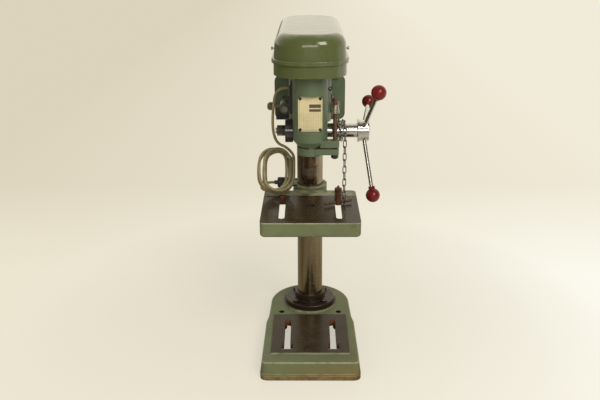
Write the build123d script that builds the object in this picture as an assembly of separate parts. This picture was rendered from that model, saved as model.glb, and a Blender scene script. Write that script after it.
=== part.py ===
from build123d import *
import math
import os

# Bench drill press. Millimetres, +Z up, the front faces -Y.
# The origin is on the column's axis, level with the underside of the base.

# Fits
running_gap = 0.06
slide_gap = 0.3
seat_gap = 0.3

# Base
base_front = 327.0
base_front_width = 246.0
base_shoulder_width = 241.0
base_shoulder_y = -118.0
base_neck_width = 230.0
base_neck_y = -84.0
base_rear_r = 112.0
base_height = 50.0
base_wall = 10.0
base_deck = 13.0
base_lip_height = 14.0
base_lip_proud = 4.0
base_edge_r = 5.0
base_corner_r = 14.0
pad_width = 200.0
pad_length = 200.0
pad_front_y = -290.0
pad_height = 5.0
base_slot_x = 60.0
base_slot_width = 16.0
base_slot_length = 150.0
base_slot_inset = 18.0
t_entry_width = 30.0
t_entry_length = 30.0
bench_hole_x = 80.0
bench_hole_y = -66.0
bench_hole_r = 7.5
column_boss_r = 75.0
column_boss_height = 6.0

# Column and its flange
column_r = 35.0
column_head_gap = 7.0
column_wall = 8.0
flange_r = 69.0
flange_thickness = 12.0
flange_hub_r = 43.0
flange_hub_height = 20.0
flange_bolt_pcd = 112.0
flange_bolt_r = 5.0
flange_bolt_count = 4
bolt_head_height = 7.0

# Table
table_top_z = 414.0
table_width = 240.0
table_length = 240.0
table_depth = 38.0
table_deck = 14.0
table_wall = 10.0
table_corner_r = 12.0
table_lower_edge_r = 8.0
table_paint_strip = 46.0
table_paint_step = 1.5
table_hole_r = 13.0
table_slot_x = 70.0
table_slot_width = 16.0
table_slot_length = 164.0
table_slot_front = 29.0
table_boss_r = 46.0
table_boss_length = 84.0
table_rib_x = 37.0
table_rib_thickness = 8.0
table_web_width = 74.0
table_web_depth = 60.0
ear_thickness = 16.0
ear_reach = 30.0
ear_height = 44.0
clamp_slit = 4.0
clamp_bolt_r = 6.0
lever_length = 82.0
lever_r = 6.0
lever_hub_r = 14.0
lever_hub_length = 18.0
collar_height = 26.0
collar_r = 48.0

# Spindle line and head
spindle_reach = 185.0
head_floor_z = 585.0
head_height = 158.0
nose_r = 42.0
nose_lip_r = 31.0
nose_lip_height = 14.0
head_boss_r = 56.0
head_boss_rise = 5.0
head_ear_reach = 14.0
head_ear_thickness = 18.0
head_bolt_r = 6.0
head_bolt_rise = 40.0
head_bolt_spread = 80.0
head_wall = 11.0
plate_width = 57.0
plate_height = 84.0
plate_rise = 68.5
plate_thickness = 1.2
plate_corner = 6.0
plate_screw_r = 2.2

# Quill, rack and feed pinion
quill_r = 24.0
quill_drop = 36.0
quill_top_gap = 4.0
quill_bore_r = 20.0
quill_waist_r = 14.0
bearing_height = 13.0
rack_module = 1.5
pinion_teeth = 18
rack_pitch_from_axis = 21.5
rack_length = 96.0
rack_backlash = 0.6
pinion_rise = 13.0
pinion_face = 24.0
feed_shaft_r = 10.0
feed_sleeve_r = 17.5
feed_sleeve_end_x = 115.5
hub_disc_r = 28.5
hub_disc_thickness = 5.0
hub_r = 26.0
hub_length = 24.0
arm_r = 5.0
arm_reach = 160.0
arm_splay = 25.5
arm_root_inset = 8.5
arm_start_angle = 14.0
arm_count = 3
ball_r = 17.5
ball_neck_r = 8.0
ball_neck_length = 6.0
spring_housing_r = 29.0
spring_housing_length = 19.0
spring_housing_wall = 2.0
spring_turns = 5
spring_band = 0.8
spring_nut_r = 13.5
spring_nut_length = 11.0

# Depth stop
stop_collar_r = 31.0
stop_collar_height = 18.0
stop_arm_thickness = 14.0
rod_x = 59.0
rod_y = -205.0
rod_r = 5.0
rod_length = 148.0
lug_rise = 3.0
lug_thickness = 17.0
lug_r = 11.0
stop_nut_rise = 66.0
stop_nut_height = 20.0
stop_nut_low_r = 10.5
stop_nut_high_r = 8.0
rod_nut_height = 9.0
rod_nut_r = 9.0

# Spindle, chuck and pulleys
spindle_r = 10.0
spline_r = 8.4
spline_teeth = 6
spline_gap = 0.3
spline_end_gap = 6.0
chuck_drop = 6.0
chuck_length = 69.0
chuck_r = 16.5
chuck_nose_r = 10.5
chuck_core_r = 16.0
chuck_sleeve_r = 18.5
chuck_sleeve_rise = 15.0
chuck_sleeve_length = 30.0
chuck_arbor_r = 7.0
chuck_arbor_length = 20.0
chuck_teeth = 24
jaw_r = 3.0
jaw_length = 38.0
jaw_lean = 10.0
jaw_count = 3
jaw_tip_drop = 4.0
jaw_tip_offset = 2.2
jaw_travel = 18.0
sleeve_r = 12.5
sleeve_bearing_r = 23.5
sleeve_length = 124.0
pulley_step_count = 4
pulley_step_height = 17.0
pulley_rise = 13.0
spindle_pulley_r = 56.0
motor_pulley_r = 46.0
pulley_step_fall = 8.0
pulley_groove_depth = 9.0
belt_step_index = 2
groove_top = 13.0
groove_bottom = 6.0
belt_inset = 1.0
belt_height = 7.0
belt_clearance = 0.4

# Motor and its carriage
motor_y = 188.0
motor_r = 74.0
motor_drop = 25.0
motor_height = 173.0
bell_height = 34.0
bell_wall = 9.0
motor_rib_count = 28
motor_rib_r = 2.2
motor_shaft_r = 9.5
motor_foot_width = 60.0
motor_plate_y = 92.0
motor_plate_thickness = 8.0
motor_plate_width = 194.0
motor_plate_drop = 17.0
motor_plate_height = 124.0
motor_plate_corner_r = 18.0
bar_x = 66.0
bar_rise = 37.0
bar_r = 8.0
bar_boss_r = 15.0
bar_boss_length = 52.0
bar_front_y = -8.0
tension_travel = 10.0
knob_r = 11.0
knob_length = 18.0
knob_round = 8.0
knob_stand_off = 15.0
terminal_box_size = (40.0, 26.0, 36.0)
terminal_box_x = -73.0
terminal_box_rise = 6.0
motor_bolt_r = 3.5
motor_bolt_spread = 56.0

# Belt cover
cover_width = 172.0
cover_front_y = -255.0
cover_rear_y = 246.0
cover_front_r = 72.0
cover_rear_r = 72.0
pan_height = 33.0
lid_height = 63.0
cover_wall = 2.5
cover_top_r = 27.0
cover_lean = 5.0
rim_proud = 4.5
rim_height = 4.0
lid_hinge_gap = 9.0
lid_knuckle_r = 4.5
lid_knuckle_length = 16.0
lid_hinge_x = 38.0
lid_pin_r = 2.0
grip_y = -120.0
grip_rise = 18.0
grip_r = 4.0
grip_reach = 8.0

# Switch and mains lead
switch_box_y = -108.0
switch_box_rise = 87.0
switch_box_size = (9.0, 58.0, 72.0)
toggle_r = 3.0
toggle_hub_r = 6.0
toggle_hub_width = 10.0
toggle_length = 16.0
gland_r = 6.0
gland_length = 6.0
cord_r = 3.5
hank_loops = 5
hank_mean_r = 37.0
hank_fan = 10.0
hank_half_height = 54.0
hank_height_fan = 3.0
hank_turn_step = 8.1
hank_start_z = 12.0
fan_angle = 137.5
hank_lean = 24.0
hank_x = -88.0
hank_y = -98.0
plug_length = 42.0
plug_r = 14.0
plug_pin_r = 2.4
plug_pin_length = 19.0

# Chuck key and chain
chain_pitch = 20.0
chain_width = 10.4
chain_wire_r = 1.25
chain_wraps = 2
chain_wrap_step = 11.4
chain_wrap_x = 62.0
chain_anchor_x = 49.0
chain_anchor_rise = 115.0
eye_r = 4.2
eye_wire_r = 1.3
eye_screw_r = 2.0
key_body_r = 7.5
key_body_length = 28.0
key_head_r = 9.0
key_head_height = 15.0
key_pilot_r = 3.0
key_pilot_length = 6.0
key_teeth = 11
key_bar_r = 3.0
key_bar_length = 72.0
key_bar_rise = 6.5
key_turn = 20.0
key_ring_r = 7.0
key_ring_wire_r = 1.2
key_ring_offset = 16.0

# Places worked out from the sizes above
head_top_z = head_floor_z + head_height
column_top_z = head_top_z - column_head_gap
nose_lip_z = head_floor_z - nose_lip_height
head_boss_floor_z = head_floor_z + head_boss_rise
head_bolt_low_z = head_floor_z + head_bolt_rise
head_bolt_high_z = head_bolt_low_z + head_bolt_spread
plate_centre_z = head_floor_z + plate_rise
quill_floor_z = head_floor_z - quill_drop
pinion_z = head_floor_z + pinion_rise
lug_top_z = head_floor_z + lug_rise
stop_nut_z = lug_top_z + stop_nut_rise
chuck_top_z = quill_floor_z - chuck_drop
chuck_nose_z = chuck_top_z - chuck_length
chuck_sleeve_low_z = chuck_nose_z + chuck_sleeve_rise
chuck_sleeve_high_z = chuck_sleeve_low_z + chuck_sleeve_length
sleeve_floor_z = head_top_z - 3 * bearing_height
sleeve_top_z = sleeve_floor_z + sleeve_length
quill_top_z = sleeve_floor_z - quill_top_gap
spindle_top_z = sleeve_top_z - spline_end_gap
pulley_floor_z = head_top_z + pulley_rise
motor_floor_z = head_floor_z - motor_drop
motor_top_z = motor_floor_z + motor_height
motor_plate_floor_z = head_floor_z - motor_plate_drop
motor_plate_top_z = motor_plate_floor_z + motor_plate_height
bar_z = head_floor_z + bar_rise
terminal_box_z = head_floor_z + terminal_box_rise
cover_seam_z = head_top_z + pan_height
cover_top_z = cover_seam_z + lid_height
grip_z = cover_seam_z + grip_rise
switch_box_z = head_floor_z + switch_box_rise
chain_anchor_z = head_floor_z + chain_anchor_rise
spindle_y = -spindle_reach
table_centre_y = -spindle_reach
table_front_y = table_centre_y - table_length / 2
table_rear_y = table_centre_y + table_length / 2
table_floor_z = table_top_z - table_depth
boss_floor_z = table_top_z - table_boss_length
collar_floor_z = boss_floor_z - collar_height
flange_floor_z = base_height + column_boss_height
flange_top_z = flange_floor_z + flange_thickness
pinion_pitch_r = rack_module * pinion_teeth / 2
pinion_y = spindle_y + rack_pitch_from_axis + pinion_pitch_r
hub_start_x = feed_sleeve_end_x + slide_gap
hub_face_x = hub_start_x + hub_disc_thickness
hub_end_x = hub_face_x + hub_length
arm_root_x = hub_face_x + arm_root_inset
housing_end_x = -nose_r - spring_housing_length
hinge_y = cover_rear_y + rim_proud + lid_hinge_gap
clamp_bolt_y = table_boss_r + ear_reach / 2
head_bolt_y = head_boss_r + head_ear_reach / 2
stop_arm_floor_z = quill_floor_z + stop_collar_height - stop_arm_thickness
pinion_tip_r = pinion_pitch_r + rack_module
pinion_root_r = pinion_pitch_r - 1.25 * rack_module
feed_bore_start_x = quill_r - 5
shaft_tail_r = feed_shaft_r - 3
belt_z = pulley_floor_z + (belt_step_index + 0.5) * pulley_step_height
cord_d = 2 * cord_r


def rod_z(r, low, high, x=0.0, y=0.0):
    """Upright round bar between two heights."""
    return Pos(x, y, low) * Cylinder(r, high - low, align=(Align.CENTER, Align.CENTER, Align.MIN))


def rod_x_axis(r, low, high, y=0.0, z=0.0):
    """Round bar along X."""
    return Pos(low, y, z) * Rot(0, 90, 0) * Cylinder(r, high - low, align=(Align.CENTER, Align.CENTER, Align.MIN))


def rod_y_axis(r, low, high, x=0.0, z=0.0):
    """Round bar along Y."""
    return Pos(x, low, z) * Rot(-90, 0, 0) * Cylinder(r, high - low, align=(Align.CENTER, Align.CENTER, Align.MIN))


def block(low, high):
    """Box between two corners."""
    size = [b - a for a, b in zip(low, high)]
    return Pos(*low) * Box(*size, align=(Align.MIN, Align.MIN, Align.MIN))


def ring_z(outer_r, inner_r, low, high, x=0.0, y=0.0):
    """Upright ring between two heights."""
    return rod_z(outer_r, low, high, x, y) - rod_z(inner_r, low, high, x, y)


def prism_z(face, low, high):
    """Flat outline raised between two heights."""
    return Pos(0, 0, low) * extrude(face, high - low)


def hexagon_x(across_r, low, high, y, z):
    """Hexagonal bar along X."""
    outline = Rot(0, 90, 0) * extrude(RegularPolygon(across_r, 6), high - low)
    return Pos(low, y, z) * outline


def hexagon_z(across_r, low, high, x=0.0, y=0.0):
    """Hexagonal bar along Z."""
    return Pos(x, y, low) * extrude(RegularPolygon(across_r, 6), high - low)


def group(solids):
    """Separate solids kept in one node."""
    return Compound(children=[s for s in solids])


def mirror_x(shape):
    """The same shape on the other side of the middle plane."""
    return mirror(shape, about=Plane.YZ)


def slot_outline(width, length):
    """Round-ended slot, long side along Y, centred."""
    return Rot(0, 0, 90) * SlotOverall(length, width)


def base_outline(grow):
    """Plan of the base, with straight sides, a shoulder and a half-round rear."""
    front = base_front_width / 2 + grow
    shoulder = base_shoulder_width / 2 + grow
    neck = base_neck_width / 2 + grow
    rear = base_rear_r + grow
    tip = (0, rear)
    start = (rear, 0)
    right = Polyline(start, (neck, base_neck_y), (shoulder, base_shoulder_y), (front, -base_front - grow))
    left = Polyline((-front, -base_front - grow), (-shoulder, base_shoulder_y), (-neck, base_neck_y), (-rear, 0))
    nose = Line((front, -base_front - grow), (-front, -base_front - grow))
    arc = ThreePointArc((-rear, 0), tip, start)
    face = make_face(Curve() + [right, nose, left, arc])
    return fillet(face.vertices().sort_by(Axis.Y)[:2], base_corner_r + grow)


def base():
    """Open-bottomed casting with a foot lip, a machined pad, T-slots and bench bolt holes."""
    body = prism_z(base_outline(0), 0, base_height)
    body = fillet(body.faces().sort_by(Axis.Z)[-1].edges(), base_edge_r)
    body += prism_z(base_outline(base_lip_proud), 0, base_lip_height)
    body -= prism_z(base_outline(-base_wall), 0, base_height - base_deck)
    pad_middle_y = pad_front_y + pad_length / 2
    body += Pos(0, pad_middle_y, base_height - 1) * extrude(Rectangle(pad_width, pad_length), pad_height + 1)
    body += rod_z(column_boss_r, base_height - base_deck, flange_floor_z)
    body += ring_z(flange_hub_r, column_r, base_height - 2 * base_deck, base_height)
    slot_middle_y = pad_front_y + base_slot_inset + base_slot_length / 2
    entry_middle_y = pad_front_y + base_slot_inset + t_entry_length / 2
    for side in (-1, 1):
        x = side * base_slot_x
        body -= Pos(x, slot_middle_y, 0) * extrude(slot_outline(base_slot_width, base_slot_length), 2 * base_height)
        body -= Pos(x, entry_middle_y, 0) * extrude(Rectangle(t_entry_width, t_entry_length), 2 * base_height)
        hole_x = side * bench_hole_x
        body += rod_z(2 * bench_hole_r, 0, base_height - 1, hole_x, bench_hole_y)
        body -= rod_z(bench_hole_r, 0, 2 * base_height, hole_x, bench_hole_y)
    body -= rod_z(column_r, 0, 2 * base_height)
    for x, y in flange_bolt_places():
        body -= rod_z(flange_bolt_r, 0, 2 * base_height, x, y)
    return body


def flange_bolt_places():
    """Centres of the flange bolts, at the diagonals."""
    step = 360 / flange_bolt_count
    angles = [math.radians(step / 2 + step * i) for i in range(flange_bolt_count)]
    return [(flange_bolt_pcd / 2 * math.cos(a), flange_bolt_pcd / 2 * math.sin(a)) for a in angles]


def column_flange():
    """Round foot flange with a raised hub round the column."""
    plate = ring_z(flange_r, column_r, flange_floor_z, flange_top_z)
    plate = chamfer(plate.edges().filter_by(GeomType.CIRCLE).group_by(Axis.Z)[-1].sort_by(SortBy.RADIUS)[-1], 2)
    plate += ring_z(flange_hub_r, column_r, flange_top_z, flange_top_z + flange_hub_height)
    for x, y in flange_bolt_places():
        plate -= rod_z(flange_bolt_r, flange_floor_z, flange_top_z, x, y)
    return plate


def flange_bolts():
    """Hexagon bolts that hold the flange on the base."""
    bolts = []
    for x, y in flange_bolt_places():
        bolt = rod_z(flange_bolt_r, base_height - base_deck, flange_top_z, x, y)
        bolt += hexagon_z(1.8 * flange_bolt_r, flange_top_z, flange_top_z + bolt_head_height, x, y)
        bolts.append(bolt)
    return group(bolts)


def column():
    """Plain steel tube from the base up into the head."""
    return ring_z(column_r, column_r - column_wall, base_height - 2 * base_deck, column_top_z)


def table():
    """Square table with a machined top, an apron, slots, and a split boss behind it."""
    face = RectangleRounded(table_width, table_length, table_corner_r)
    body = Pos(0, table_centre_y, table_floor_z) * extrude(face, table_depth)
    body = fillet(body.faces().sort_by(Axis.Z)[0].outer_wire().edges(), table_lower_edge_r)
    hollow = Rectangle(table_width - 2 * table_wall, table_length - 2 * table_wall)
    body -= Pos(0, table_centre_y, table_floor_z) * extrude(hollow, table_depth - table_deck)
    strip_y = table_rear_y - table_paint_strip
    body -= block((-table_width, strip_y, table_top_z - table_paint_step), (table_width, table_rear_y + 1, table_top_z + 1))
    rib_low = table_floor_z + table_wall
    rib_high = table_top_z - table_deck
    rib_half = table_rib_thickness / 2
    for x in (-table_rib_x, table_rib_x):
        body += block((x - rib_half, table_front_y + table_wall, rib_low), (x + rib_half, table_rear_y - table_wall, rib_high))
    web_low = table_top_z - table_web_depth
    web_top = table_top_z - table_deck / 2
    web_front_y = table_rear_y - table_wall
    body += block((-table_web_width / 2, web_front_y, web_low), (table_web_width / 2, -column_r, web_top))
    body += rod_z(table_boss_r, boss_floor_z, table_top_z - 1)
    body += table_ears()
    body -= rod_z(column_r + running_gap, boss_floor_z, table_top_z)
    body -= block((-clamp_slit / 2, 0, boss_floor_z), (clamp_slit / 2, clamp_bolt_y + ear_reach, table_top_z))
    body -= rod_x_axis(clamp_bolt_r, -2 * table_boss_r, 2 * table_boss_r, clamp_bolt_y, ear_middle_z())
    body -= rod_z(table_hole_r, table_floor_z, table_top_z, 0, table_centre_y)
    slot_middle_y = table_front_y + table_slot_front + table_slot_length / 2
    for side in (-1, 1):
        outline = slot_outline(table_slot_width, table_slot_length)
        body -= Pos(side * table_slot_x, slot_middle_y, table_floor_z) * extrude(outline, table_depth)
    return body


def ear_middle_z():
    """Height of the table's clamp bolt."""
    return boss_floor_z + table_boss_length / 2


def table_ears():
    """Clamp ears behind the table's boss."""
    low = ear_middle_z() - ear_height / 2
    reach = table_boss_r + ear_reach
    return block((-clamp_slit / 2 - ear_thickness, column_r + 4, low),
                 (clamp_slit / 2 + ear_thickness, reach, low + ear_height))


def table_clamp_bolt():
    """Bolt through the table's ears, with its head on the left."""
    face_x = clamp_slit / 2 + ear_thickness
    end_x = face_x + lever_hub_length + 4
    bolt = rod_x_axis(clamp_bolt_r, -face_x, end_x, clamp_bolt_y, ear_middle_z())
    return bolt + hexagon_x(1.8 * clamp_bolt_r, -face_x - bolt_head_height, -face_x, clamp_bolt_y, ear_middle_z())


def table_clamp_lever():
    """Cranked lever with a threaded hub on the clamp bolt."""
    face_x = clamp_slit / 2 + ear_thickness + slide_gap
    z = ear_middle_z()
    lever = rod_x_axis(lever_hub_r, face_x, face_x + lever_hub_length, clamp_bolt_y, z)
    arm_x = face_x + lever_hub_length / 2
    lever += rod_z(lever_r, z - lever_length, z, arm_x, clamp_bolt_y)
    lever += Pos(arm_x, clamp_bolt_y, z - lever_length) * Sphere(1.5 * lever_r)
    bore = clamp_bolt_r + running_gap
    return lever - rod_x_axis(bore, face_x - 1, face_x + lever_hub_length + 1, clamp_bolt_y, z)


def table_collar():
    """Support ring on the column under the table's boss."""
    ring = ring_z(collar_r, column_r + running_gap, collar_floor_z, boss_floor_z)
    outer = ring.edges().filter_by(GeomType.CIRCLE).sort_by(SortBy.RADIUS)[-2:]
    return chamfer(outer, 1.5)


def along(start, end, r):
    """Round bar between two points."""
    a = Vector(*start)
    b = Vector(*end)
    plane = Plane(origin=a, z_dir=(b - a).normalized())
    return plane * Cylinder(r, (b - a).length, align=(Align.CENTER, Align.CENTER, Align.MIN))


def head_casting():
    """Head with a round nose, a split column clamp, slide-bar bosses and a depth-rod lug."""
    body = rod_z(nose_r, head_floor_z, head_top_z, 0, spindle_y)
    cone = Cone(nose_lip_r, nose_r, head_floor_z - nose_lip_z, align=(Align.CENTER, Align.CENTER, Align.MIN))
    body += Pos(0, spindle_y, nose_lip_z) * cone
    body += block((-nose_r, spindle_y, head_floor_z), (nose_r, 0, head_top_z))
    body += rod_z(head_boss_r, head_boss_floor_z, head_top_z)
    ear_x = clamp_slit / 2 + head_ear_thickness
    body += block((-ear_x, column_r + 4, head_boss_floor_z), (ear_x, head_boss_r + head_ear_reach, head_top_z - 10))
    for side in (-1, 1):
        x = side * bar_x
        body += rod_y_axis(bar_boss_r, bar_front_y, bar_front_y + bar_boss_length, x, bar_z)
        low = (min(0, x), bar_front_y, bar_z - bar_boss_r / 2)
        body += block(low, (max(0, x), bar_front_y + bar_boss_length, bar_z + bar_boss_r / 2))
    lug_low = lug_top_z - lug_thickness
    body += rod_z(lug_r, lug_low, lug_top_z, rod_x, rod_y)
    body += block((quill_r, rod_y - lug_r, lug_low), (rod_x, rod_y + lug_r, lug_top_z))
    body -= rod_z(quill_r + running_gap, nose_lip_z - 1, sleeve_floor_z, 0, spindle_y)
    body -= rod_z(sleeve_bearing_r, sleeve_floor_z, head_top_z, 0, spindle_y)
    body -= rod_z(column_r, head_boss_floor_z - 30, column_top_z)
    body -= rod_z(rod_r + slide_gap, lug_low, lug_top_z, rod_x, rod_y)
    cavity_low = (head_wall - nose_r, pinion_y, pinion_z + 3 * pinion_tip_r)
    body -= block(cavity_low, (nose_r - head_wall, -column_r - head_wall, head_top_z))
    chamber_r = pinion_tip_r + 2 * slide_gap
    body -= rod_x_axis(chamber_r, -pinion_face / 2 - 1, feed_bore_start_x, pinion_y, pinion_z)
    body -= rod_x_axis(feed_shaft_r + running_gap, -nose_r - 1, 0, pinion_y, pinion_z)
    body -= rod_x_axis(feed_sleeve_r, feed_bore_start_x, nose_r + 1, pinion_y, pinion_z)
    body -= block((-clamp_slit / 2, 0, head_boss_floor_z), (clamp_slit / 2, 2 * head_boss_r, column_top_z))
    for z in (head_bolt_low_z, head_bolt_high_z):
        body -= rod_x_axis(head_bolt_r, -2 * ear_x, 2 * ear_x, head_bolt_y, z)
    for side in (-1, 1):
        body -= rod_y_axis(bar_r + running_gap, bar_front_y - 60, bar_front_y + 2 * bar_boss_length, side * bar_x, bar_z)
    body -= rod_x_axis(knob_screw_r(), -2 * bar_x, -bar_x, knob_y(), bar_z)
    body -= plate_pocket()
    return body


def knob_screw_r():
    """Radius of the tension lock's screw."""
    return bar_r / 2


def knob_y():
    """Place of the tension lock along the slide bar's boss."""
    return bar_front_y + bar_boss_length / 2


def plate_pocket():
    """Flat seat cut into the round nose for the nameplate."""
    front = spindle_y - nose_r
    depth = nose_r - math.sqrt(nose_r ** 2 - (plate_width / 2 + 1) ** 2)
    low = (-plate_width / 2 - 1, front - 1, plate_centre_z - plate_height / 2 - 1)
    return block(low, (plate_width / 2 + 1, front + depth, plate_centre_z + plate_height / 2 + 1))


def plate_back_y():
    """Where the nameplate's back lies."""
    return spindle_y - math.sqrt(nose_r ** 2 - (plate_width / 2 + 1) ** 2)


def plate_screw_places():
    """Screw centres in the nameplate's corners."""
    x = plate_width / 2 - 5
    z = plate_height / 2 - 5
    return [(sx * x, plate_centre_z + sz * z) for sx in (-1, 1) for sz in (-1, 1)]


def nameplate():
    """Bare plate with cut corners on the head's front."""
    face = chamfer(Rectangle(plate_width, plate_height).vertices(), plate_corner)
    plate = Pos(0, plate_back_y(), plate_centre_z) * Rot(90, 0, 0) * extrude(face, plate_thickness)
    for x, z in plate_screw_places():
        plate -= rod_y_axis(plate_screw_r, plate_back_y() - 5, plate_back_y() + 5, x, z)
    return plate


def nameplate_screws():
    """Round-headed screws of the nameplate."""
    screws = []
    face_y = plate_back_y() - plate_thickness
    for x, z in plate_screw_places():
        screw = rod_y_axis(plate_screw_r, face_y, plate_back_y(), x, z)
        screws.append(screw + rod_y_axis(1.6 * plate_screw_r, face_y - 1.5, face_y, x, z))
    return group(screws)


def head_clamp_bolts():
    """Bolts and nuts across the head's split clamp."""
    bolts = []
    ear_x = clamp_slit / 2 + head_ear_thickness
    for z in (head_bolt_low_z, head_bolt_high_z):
        bolt = rod_x_axis(head_bolt_r, -ear_x, ear_x, head_bolt_y, z)
        bolt += hexagon_x(1.75 * head_bolt_r, ear_x, ear_x + bolt_head_height, head_bolt_y, z)
        bolt += hexagon_x(1.75 * head_bolt_r, -ear_x - bolt_head_height, -ear_x, head_bolt_y, z)
        bolts.append(bolt)
    return group(bolts)


def rack_cutter():
    """Flat and tooth gaps of the rack on the quill's rear."""
    pitch = math.pi * rack_module
    tip_y = spindle_y + rack_pitch_from_axis + rack_module
    root_y = spindle_y + rack_pitch_from_axis - 1.3 * rack_module
    low = pinion_z - 4 * pitch
    cutter = block((-quill_r, tip_y, low), (quill_r, tip_y + quill_r, low + rack_length))
    slope = math.tan(math.radians(20))
    half = pitch / 4 + rack_backlash / 4
    tip_half = half + rack_module * slope
    root_half = half - 1.3 * rack_module * slope
    outline = Polyline((root_y, -root_half), (tip_y + 1, -tip_half), (tip_y + 1, tip_half), (root_y, root_half),
                       close=True)
    gap = extrude(Plane.YZ * make_face(outline), quill_r, both=True)
    count = int(rack_length / pitch) - 1
    return [cutter] + [Pos(0, 0, pinion_z + (i - 3) * pitch) * gap for i in range(count)]


def quill():
    """Quill tube with bearing pockets at both ends and a rack down its rear."""
    tube = rod_z(quill_r, quill_floor_z, quill_top_z, 0, spindle_y)
    tube -= rod_z(quill_waist_r, quill_floor_z, quill_top_z, 0, spindle_y)
    for low, high in quill_bearing_spans():
        tube -= rod_z(quill_bore_r, low, high, 0, spindle_y)
    return tube - rack_cutter()


def quill_bearing_spans():
    """Heights of the two quill bearings."""
    return [(quill_floor_z, quill_floor_z + bearing_height), (quill_top_z - bearing_height, quill_top_z)]


def quill_bearings():
    """Ball bearings of the spindle in the quill, as closed rings."""
    bore = spindle_r + running_gap
    return group([ring_z(quill_bore_r, bore, low, high, 0, spindle_y) for low, high in quill_bearing_spans()])


def stop_collar():
    """Clamp ring on the quill with an arm to the depth rod."""
    ring = rod_z(stop_collar_r, quill_floor_z, quill_floor_z + stop_collar_height, 0, spindle_y)
    arm_top = stop_arm_floor_z + stop_arm_thickness
    ring += rod_z(lug_r - 1, stop_arm_floor_z, arm_top, rod_x, rod_y)
    ring += block((quill_r / 2, rod_y - lug_r + 1, stop_arm_floor_z), (rod_x, rod_y + lug_r - 1, arm_top))
    ring -= rod_z(quill_r, quill_floor_z, arm_top, 0, spindle_y)
    return ring - rod_z(rod_r, quill_floor_z, arm_top, rod_x, rod_y)


def depth_rod():
    """Threaded rod that rides with the stop collar's arm."""
    low = stop_arm_floor_z - rod_nut_height - 2
    return rod_z(rod_r, low, low + rod_length, rod_x, rod_y)


def depth_rod_nut():
    """Hexagon nut under the stop collar's arm."""
    nut = hexagon_z(rod_nut_r, stop_arm_floor_z - rod_nut_height, stop_arm_floor_z, rod_x, rod_y)
    return nut - rod_z(rod_r, stop_arm_floor_z - 2 * rod_nut_height, stop_arm_floor_z, rod_x, rod_y)


def depth_stop_nut():
    """Tapered finger nut with flutes that sets the drilling depth."""
    nut = Pos(rod_x, rod_y, stop_nut_z) * Cone(stop_nut_low_r, stop_nut_high_r, stop_nut_height,
                                               align=(Align.CENTER, Align.CENTER, Align.MIN))
    flute_count = 14
    for i in range(flute_count):
        a = 2 * math.pi * i / flute_count
        x = rod_x + stop_nut_low_r * math.cos(a)
        y = rod_y + stop_nut_low_r * math.sin(a)
        nut -= rod_z(1.0, stop_nut_z, stop_nut_z + stop_nut_height, x, y)
    return nut - rod_z(rod_r + running_gap, stop_nut_z - 1, stop_nut_z + stop_nut_height + 1, rod_x, rod_y)


def pinion_shaft():
    """Feed shaft with the rack pinion cut in its middle and a thinner tail for the spring."""
    shaft = rod_x_axis(feed_shaft_r, -nose_r, hub_end_x, pinion_y, pinion_z)
    tail_end = housing_end_x - 2 * spring_nut_length - 2
    shaft += rod_x_axis(shaft_tail_r, tail_end, -nose_r, pinion_y, pinion_z)
    gear = Circle(pinion_root_r)
    half = math.pi * rack_module / 4 - rack_backlash / 2
    tooth = make_face(Polyline((pinion_root_r - 1, -1.6 * half), (pinion_pitch_r, -half), (pinion_tip_r, -0.45 * half),
                               (pinion_tip_r, 0.45 * half), (pinion_pitch_r, half), (pinion_root_r - 1, 1.6 * half),
                               close=True))
    for i in range(pinion_teeth):
        gear += Rot(0, 0, 180 + 360 * i / pinion_teeth) * tooth
    plane = Plane(origin=(-pinion_face / 2, pinion_y, pinion_z), x_dir=(0, 1, 0), z_dir=(1, 0, 0))
    return shaft + plane * extrude(gear, pinion_face)


def feed_sleeve():
    """Plain steel sleeve that carries the feed shaft, pressed into the head's right side."""
    sleeve = rod_x_axis(feed_sleeve_r, feed_bore_start_x, feed_sleeve_end_x, pinion_y, pinion_z)
    return sleeve - rod_x_axis(feed_shaft_r + running_gap, 0, hub_end_x, pinion_y, pinion_z)


def arm_ends():
    """Root and ball centre of each feed arm."""
    root = (arm_root_x, pinion_y, pinion_z)
    ends = []
    for i in range(arm_count):
        a = math.radians(arm_start_angle + 360 * i / arm_count)
        ends.append((root, (arm_root_x + arm_splay, pinion_y + arm_reach * math.cos(a), pinion_z + arm_reach * math.sin(a))))
    return ends


def feed_arm(root, tip):
    """Bar screwed into the hub, with the ball on its end."""
    a = Vector(*root)
    b = Vector(*tip)
    start = a + (b - a).normalized() * (feed_shaft_r + 4)
    return along(start, b, arm_r)


def feed_arms():
    """The three feed arms."""
    return group([feed_arm(root, tip) for root, tip in arm_ends()])


def feed_hub():
    """Hub and front disc on the feed shaft, drilled for the arms."""
    hub = rod_x_axis(hub_disc_r, hub_start_x, hub_face_x, pinion_y, pinion_z)
    hub += rod_x_axis(hub_r, hub_face_x, hub_end_x, pinion_y, pinion_z)
    hub = chamfer(hub.faces().sort_by(Axis.X)[-1].edges(), 2)
    hub -= rod_x_axis(feed_shaft_r, 0, 2 * hub_end_x, pinion_y, pinion_z)
    for root, tip in arm_ends():
        hub -= feed_arm(root, tip)
    return hub


def feed_balls():
    """Ball knobs on the arms, each with a short neck."""
    balls = []
    for root, tip in arm_ends():
        a = Vector(*root)
        b = Vector(*tip)
        out = (b - a).normalized()
        neck = b - out * (ball_r + ball_neck_length - 1)
        ball = Pos(*tip) * Sphere(ball_r) + along(neck, b, ball_neck_r)
        balls.append(ball - feed_arm(root, tip))
    return group(balls)


def spring_housing():
    """Cup on the head's left side that holds the return spring."""
    cup = rod_x_axis(spring_housing_r, housing_end_x, -nose_r, pinion_y, pinion_z)
    inner_r = spring_housing_r - spring_housing_wall
    cup -= rod_x_axis(inner_r, housing_end_x + spring_housing_wall, -nose_r, pinion_y, pinion_z)
    return cup - rod_x_axis(shaft_tail_r + running_gap, housing_end_x - 1, 0, pinion_y, pinion_z)


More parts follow.
